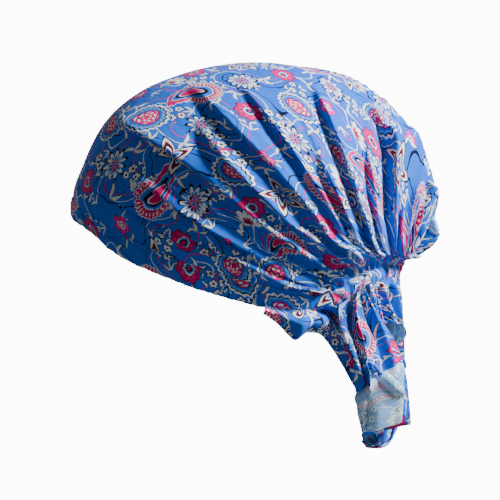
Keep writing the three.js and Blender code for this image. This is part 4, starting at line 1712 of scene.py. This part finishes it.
@dataclass(frozen=True)
class Crease:
    """A sharp fold of a tail, by its ends' shares across and along, its width and its height."""

    start_u: float
    start_v: float
    end_u: float
    end_v: float
    width: float
    height: float

    def lift(self, u: Grid, v: Grid, sink: float) -> Grid:
        """Tells how the fold lifts the cloth, with a valley beside its ridge.

        Args:
            u: Shares across.
            v: Shares along.
            sink: The valley's depth, for the ridge's height.

        Returns:
            The lift, in millimetres.
        """
        share = np.clip((v - self.start_v) / (self.end_v - self.start_v), 0, 1)
        gap = u - self.start_u - (self.end_u - self.start_u) * share
        held = self.height * ease(self.start_v, self.start_v + 0.12, v)
        held = held * (1 - ease(self.end_v - 0.1, self.end_v + 0.05, v))
        valley = sink * bell(gap - 2.1 * self.width, 0.9 * self.width)
        return held * (bell(gap, self.width) - valley)


@dataclass(frozen=True, kw_only=True)
class Tail(Panel):
    """One tie end, sewn in under the gather and folded into a V down its middle."""

    side: Side
    lines: tuple[Table, ...]
    flat: tuple[float, float]
    path: SeamPath = SeamPath()
    outer_place: float = 0.016
    inner_place: float = 0.122
    lap: float = 0.95
    back_lap: float = 1.9  # how much further the back edge laps than the inner one
    seam_drop: float = 10.0
    free_from: float = 0.16
    across: int = 110
    along: int = 150
    inside: tuple[float, float, float] = (40, 92, -190)
    ripples: tuple[tuple[float, float, float, float], ...] = (
        (2.2, 1.3, 0.9, 0.6), (4.1, 0.8, 2.1, 2.0), (6.7, 0.5, -1.6, 0.9),
    )  # fmt: skip
    creases: tuple[Crease, ...] = (
        Crease(0.78, -0.05, 0.56, 0.62, 0.028, 4.4), Crease(0.95, -0.05, 0.86, 0.5, 0.022, 3.0),
        Crease(0.64, 0.3, 0.9, 0.7, 0.03, 2.2), Crease(0.3, 0.1, 0.42, 0.7, 0.03, 2.4),
    )  # fmt: skip
    sink: float = 1.15
    hem_depth: float = 0.045
    hem_rise: float = 0.8
    hem_from: float = 0.7
    hem_drop: tuple[float, float] = (4.0, 4.0)  # outward and down, over what lies under the hem

    def points(self, u: Grid, v: Grid) -> Grid:
        """Gives points of the tail's face.

        Args:
            u: From 0 at the inner edge, over the ridge, to 1 at the back edge.
            v: From 0 at the seam to 1 at the tip.

        Returns:
            Points, in millimetres.
        """
        inner, ridge, back = (line.point(v) for line in self.lines)
        handle = 2 * ridge - (inner + back) / 2
        u1 = u[..., None]
        hung = inner * (1 - u1) ** 2 + handle * 2 * u1 * (1 - u1) + back * u1**2
        forward = 1 - np.abs(2 * u - 1)
        place = self.inner_place + (self.outer_place - self.inner_place) * forward
        frames = self.path.frames(place if self.side is Side.LEFT else 1 - place)
        sewn = frames.at(self.seam_drop, self.lap + self.back_lap * u)
        points = sewn + (hung - sewn) * ease(0, self.free_from, v)[..., None]
        low = ease(self.hem_from, 1, v)
        outward, down = self.hem_drop[0] * self.side.value * low, -self.hem_drop[1] * low
        points = points + np.stack([outward, np.zeros_like(v), down], axis=-1)
        return points + self.fold_lift(points, u, v)

    def fold_lift(self, points: Grid, u: Grid, v: Grid) -> Grid:
        """Lifts the cloth into soft folds along the tail, and thickens its hem.

        Args:
            points: The smooth tail.
            u: Shares across.
            v: Shares along.

        Returns:
            What is added to the points, in millimetres.
        """
        normal = unit(np.cross(np.gradient(points, axis=1), np.gradient(points, axis=0)))
        lift = sum(
            height * np.sin(math.pi * (count * u + slant * v) + phase)
            for count, height, slant, phase in self.ripples
        )
        lift = lift + 0.9 * soft_noise(u * 5, v * 4, 60 + self.side.value)
        lift = lift * (ease(0.05, 0.35, v) * (1 - 0.4 * ease(0.8, 1, v)))
        for crease in self.creases:
            lift = lift + crease.lift(u, v, self.sink)
        edge = np.minimum(np.minimum(u, 1 - u) * 1.2, 1 - v)
        hem = self.hem_rise * (1 - ease(self.hem_depth * 0.8, self.hem_depth, edge))
        return normal * (lift + hem * ease(0.3, 0.5, v))[..., None]

    def build(self) -> None:
        """Builds and dresses the tail."""
        points = self.points(*shares(self.across, self.along))
        name = self.side.word()
        inside = Vector(self.inside) * Vector((self.side.value, 1, 1))
        piece = self.sew(f"{name}_tail_sheet", points, inside)
        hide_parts(f"{name}_tail")


@dataclass(frozen=True, kw_only=True)
class TurnedCorner(Panel):
    """A tail's lower corner, folded over its face, mostly with the pale reverse outward.

    Its edges are given as shares across and along the tail.
    """

    tail: Tail
    turned: bool = True
    front: float = 0.44
    back_top: float = 1.0
    back_low: float = 0.93
    top_front: float = 0.6
    top_back: float = 0.42
    low: float = 0.93
    lift: float = 1.9
    top_roll: float = 0.8  # how much of the lift is lost at the turned edges
    back_roll: float = 0.6
    across: int = 60
    along: int = 70
    wall: float = 0.7
    inside: tuple[float, float, float] = (0, 85, -195)
    cut: Cut = Cut(10, 22, 60)
    flat: tuple[float, float] = (0.031, 0.046)

    def build(self) -> None:
        """Builds and dresses the corner."""
        p, q = shares(self.across, self.along)
        u = self.front + p * (self.back_top + (self.back_low - self.back_top) * q - self.front)
        top = self.top_front + (self.top_back - self.top_front) * p
        v = top + q * (self.low - top)
        points = self.tail.points(u, v)
        normal = unit(np.cross(np.gradient(points, axis=1), np.gradient(points, axis=0)))
        normal = normal * np.where(normal[..., :1] * self.tail.side.value < 0, -1, 1)
        rolled = 1 - self.top_roll * (1 - ease(0, 0.07, q))
        rolled = rolled - self.back_roll * (1 - ease(0, 0.06, 1 - p))
        waves = 0.6 * soft_noise(p * 3, q * 4, 81) + 0.5 * np.sin(math.tau * (1.4 * p + 0.8 * q))
        points = points + normal * (self.lift * rolled + waves * ease(0, 0.2, q))[..., None]
        name = self.tail.side.word()
        piece = self.sew(f"{name}_tail_corner", points, Vector(self.inside))


@dataclass(frozen=True, kw_only=True)
class Flap(Panel):
    """The three-cornered end of cloth in front of a tail, under the ear."""

    side: Side
    crease: CreaseFrame = CreaseFrame()
    swing_from: float = 0.7
    lean: float = 9.0
    stand: float = 5.5
    tuck: float = 2.0
    lap: float = 1.7
    profile: Table = Table(
        ("place", "rise"),
        (
            (0, 2.5), (0.17, -2.5), (0.34, 2.2), (0.44, 3), (0.58, -1), (0.7, -12), (0.8, -20),
            (0.9, -17), (1, -20),
        ),
    )  # fmt: skip
    fine_folds: float = 4.5
    fine_height: float = 0.8
    across: int = 110
    along: int = 80
    inside: tuple[float, float, float] = (0, 40, -165)
    edge: Table = Table(
        ("place", "x", "y", "z"),
        (
            (0, 71, 12, -151.5), (0.2, 72, 20, -157.5), (0.4, 72.5, 30, -166.5),
            (0.56, 70, 38, -163), (0.72, 70, 48, -167.5), (0.86, 72.5, 59, -184), (1, 73.5, 69, -201),
        ),
    )  # fmt: skip
    flat: tuple[float, float] = (0.057, 0.034)

    def points(self, u: Grid, v: Grid) -> Grid:
        """Gives points of the flap's face.

        Args:
            u: From 0 at the front to 1 at the back.
            v: From 0 at the band to 1 at the free edge.

        Returns:
            Points, in millimetres.
        """
        swing = self.swing_from + u * (1 - self.swing_from)
        sewn = self.crease.frames(swing).at(self.crease.height(swing) - self.tuck, self.lap)
        points = sewn + (self.edge.point(u) - sewn) * v[..., None]
        bow = np.sin(math.pi * v)
        fine = self.fine_height * np.sin(math.tau * self.fine_folds * u + 1 + 1.5 * v)
        fine = fine * ease(0.1, 0.5, v) + 0.5 * soft_noise(u * 7, v * 5, 70)
        rise = self.profile.read("rise", u) * ease(0, 0.3, v)
        rise = rise + fine * ease(0, 0.2, v) + self.stand * bow**2
        lean = self.lean * u * bow
        points = points + np.stack([rise, lean, np.zeros_like(u)], axis=-1)
        return points * np.array([self.side.value, 1, 1])

    def build(self) -> None:
        """Builds and dresses the flap."""
        points = self.points(*shares(self.across, self.along))
        name = self.side.word()
        piece = self.sew(f"{name}_flap_sheet", points, Vector(self.inside))
        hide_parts(f"{name}_flap")


@dataclass(frozen=True)
class StitchRow:
    """A row of short stitches along a line on the cloth."""

    name: str
    line: Grid
    thread: Thread = Thread()
    pitch: float = 2.6
    length: float = 1.7
    girth: float = 0.42
    first: float = 0.4
    shortest: float = 0.2

    def build(self) -> None:
        """Builds the row as one joined mesh."""
        lengths = arc_lengths(self.line, 0)
        starts = np.arange(self.first, lengths[-1] - self.pitch, self.pitch)
        bm = bmesh.new()
        for start in starts:
            low, high = (
                Vector([float(np.interp(at, lengths, self.line[:, axis])) for axis in range(3)])
                for at in (start, start + self.length)
            )
            way = high - low
            if way.length < self.shortest:
                continue
            turn = way.to_track_quat("X", "Z").to_matrix().to_4x4()
            size = Matrix.Diagonal((way.length / 2, self.girth / 2, self.girth / 2, 1))
            matrix = Matrix.Translation((low + high) / 2 * MM) @ turn @ size
            bmesh.ops.create_uvsphere(bm, u_segments=6, v_segments=4, radius=MM, matrix=matrix)
        piece = make_piece(bm, self.name)
        piece.data.materials.append(self.thread.material())
        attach(piece, BODY)
        LOG.info("%s: %d stitches", self.name, len(starts))


# ---- Studio ----------------------------------------------------------------------------------
@dataclass(frozen=True)
class Lamp:
    """A square soft light, by its place and side in metres and its power in watts."""

    name: str
    place: tuple[float, float, float]
    size: float
    power: float
    tint: ClassVar[tuple[float, float, float]] = (0.94, 0.98, 1.0)

    def hang(self, aim: Vector) -> None:
        """Hangs the light and turns it to the object.

        Args:
            aim: What it looks at.
        """
        light = bpy.data.lights.new(self.name, "AREA")
        light.energy = self.power
        light.size = self.size
        light.color = self.tint
        lamp = bpy.data.objects.new(self.name, light)
        bpy.context.scene.collection.objects.link(lamp)
        lamp.location = self.place
        lamp.rotation_euler = (aim - Vector(self.place)).to_track_quat("-Z", "Y").to_euler()


@dataclass(frozen=True)
class Studio:
    """A pale floor and room, a key light, three weak fills, and the camera."""

    floor_z: float = -0.36
    floor_reach: float = 6.0
    lens: float = 85.0
    distance: float = 0.76
    azimuth: float = 90.0
    elevation: float = 3.0
    aim: tuple[float, float, float] = (0.0, 0.004, -0.118)
    paper: Colour = (1.0, 1.0, 1.0, 1.0)
    floor_shade: Colour = (0.2, 0.2, 0.2, 1.0)
    room_strength: float = 0.0172
    backdrop_strength: float = 12.0
    lamps: tuple[Lamp, ...] = (
        Lamp("key_light", (0.29, 0.84, 0.56), 0.26, 40),
        Lamp("far_fill", (-0.8, 0.6, 0.3), 0.9, 1.5),
        Lamp("front_fill", (0.85, -0.3, 0.35), 0.6, 1.0),
        Lamp("brow_fill", (-0.6, -0.85, 0.3), 0.9, 2.4),
    )

    def build(self) -> None:
        """Builds the studio round the object."""
        self.floor()
        self.room()
        for lamp in self.lamps:
            lamp.hang(Vector(self.aim))
        self.camera()
        LOG.info("studio: floor, room, %d lights and the camera", len(self.lamps))

    def floor(self) -> None:
        """Lays the floor, which is bright to look at and dark as a light."""
        bm = bmesh.new()
        bmesh.ops.create_grid(bm, x_segments=1, y_segments=1, size=self.floor_reach)
        bmesh.ops.translate(bm, verts=bm.verts, vec=(0, 0, self.floor_z))
        floor = make_piece(bm, "floor")
        values = {"Base Color": self.floor_shade, "Roughness": 0.9, "Emission Color": self.paper}
        material = shaded("paper", values)
        path = add_node(material.node_tree, "LightPath", {})
        glow = Wire(path.outputs["Is Camera Ray"]) * self.backdrop_strength
        fill(material.node_tree.nodes["Principled BSDF"], {"Emission Strength": glow})
        floor.data.materials.append(material)

    def room(self) -> None:
        """Lights the room evenly: near white to look at, and weak as a light."""
        world = bpy.context.scene.world or bpy.data.worlds.new("room")
        bpy.context.scene.world = world
        world.use_nodes = True
        seen = Wire(add_node(world.node_tree, "LightPath", {}).outputs["Is Camera Ray"])
        strength = seen * (self.backdrop_strength - self.room_strength) + self.room_strength
        fill(world.node_tree.nodes["Background"], {"Color": self.paper, "Strength": strength})

    def camera(self) -> None:
        """Sets up the camera on the wearer's left."""
        data = bpy.data.cameras.new("camera")
        data.lens = self.lens
        camera = bpy.data.objects.new("camera", data)
        bpy.context.scene.collection.objects.link(camera)
        turn, climb = math.radians(self.azimuth), math.radians(self.elevation)
        back = Vector(
            (math.sin(turn) * math.cos(climb), -math.cos(turn) * math.cos(climb), math.sin(climb))
        )
        camera.location = Vector(self.aim) + back * self.distance
        camera.rotation_euler = (-back).to_track_quat("-Z", "Y").to_euler()
        bpy.context.scene.camera = camera


def main() -> None:
    """Builds the bandana in order, then the studio."""
    logging.basicConfig(level=logging.INFO, format="%(name)s: %(message)s")
    band, casing, skirt = FrontBand(), NapeCasing(), NapeSkirt()
    left_tail = Tail(side=Side.LEFT, lines=LEFT_TAIL, cut=Cut(30, -40, 10), flat=(0.07, 0.09))
    right_tail = Tail(side=Side.RIGHT, lines=RIGHT_TAIL, cut=Cut(-60, 30, -14), flat=(0.055, 0.067))
    left_corner = TurnedCorner(tail=left_tail)
    right_corner = TurnedCorner(
        tail=right_tail, turned=False, front=0.72, back_top=1.24, back_low=1.2, top_front=0.74,
        top_back=0.68, lift=2.6, across=44, along=50, cut=Cut(20, 50, -35), flat=(0.019, 0.021),
    )  # fmt: skip
    flaps = Flap(side=Side.LEFT, cut=Cut(10, 60, 20)), Flap(side=Side.RIGHT, cut=Cut(80, 20, -20))
    tails = left_tail, left_corner, right_tail, right_corner
    for part in (Crown(), band, casing, skirt, Sash(), *tails, *flaps):
        part.build()
    StitchRow("band_stitches", band.stitch_line()).build()
    StitchRow("casing_stitches", casing.stitch_line()).build()
    StitchRow("skirt_hem_stitches", skirt.stitch_line()).build()
    Studio().build()


if __name__ == "__main__":
    main()
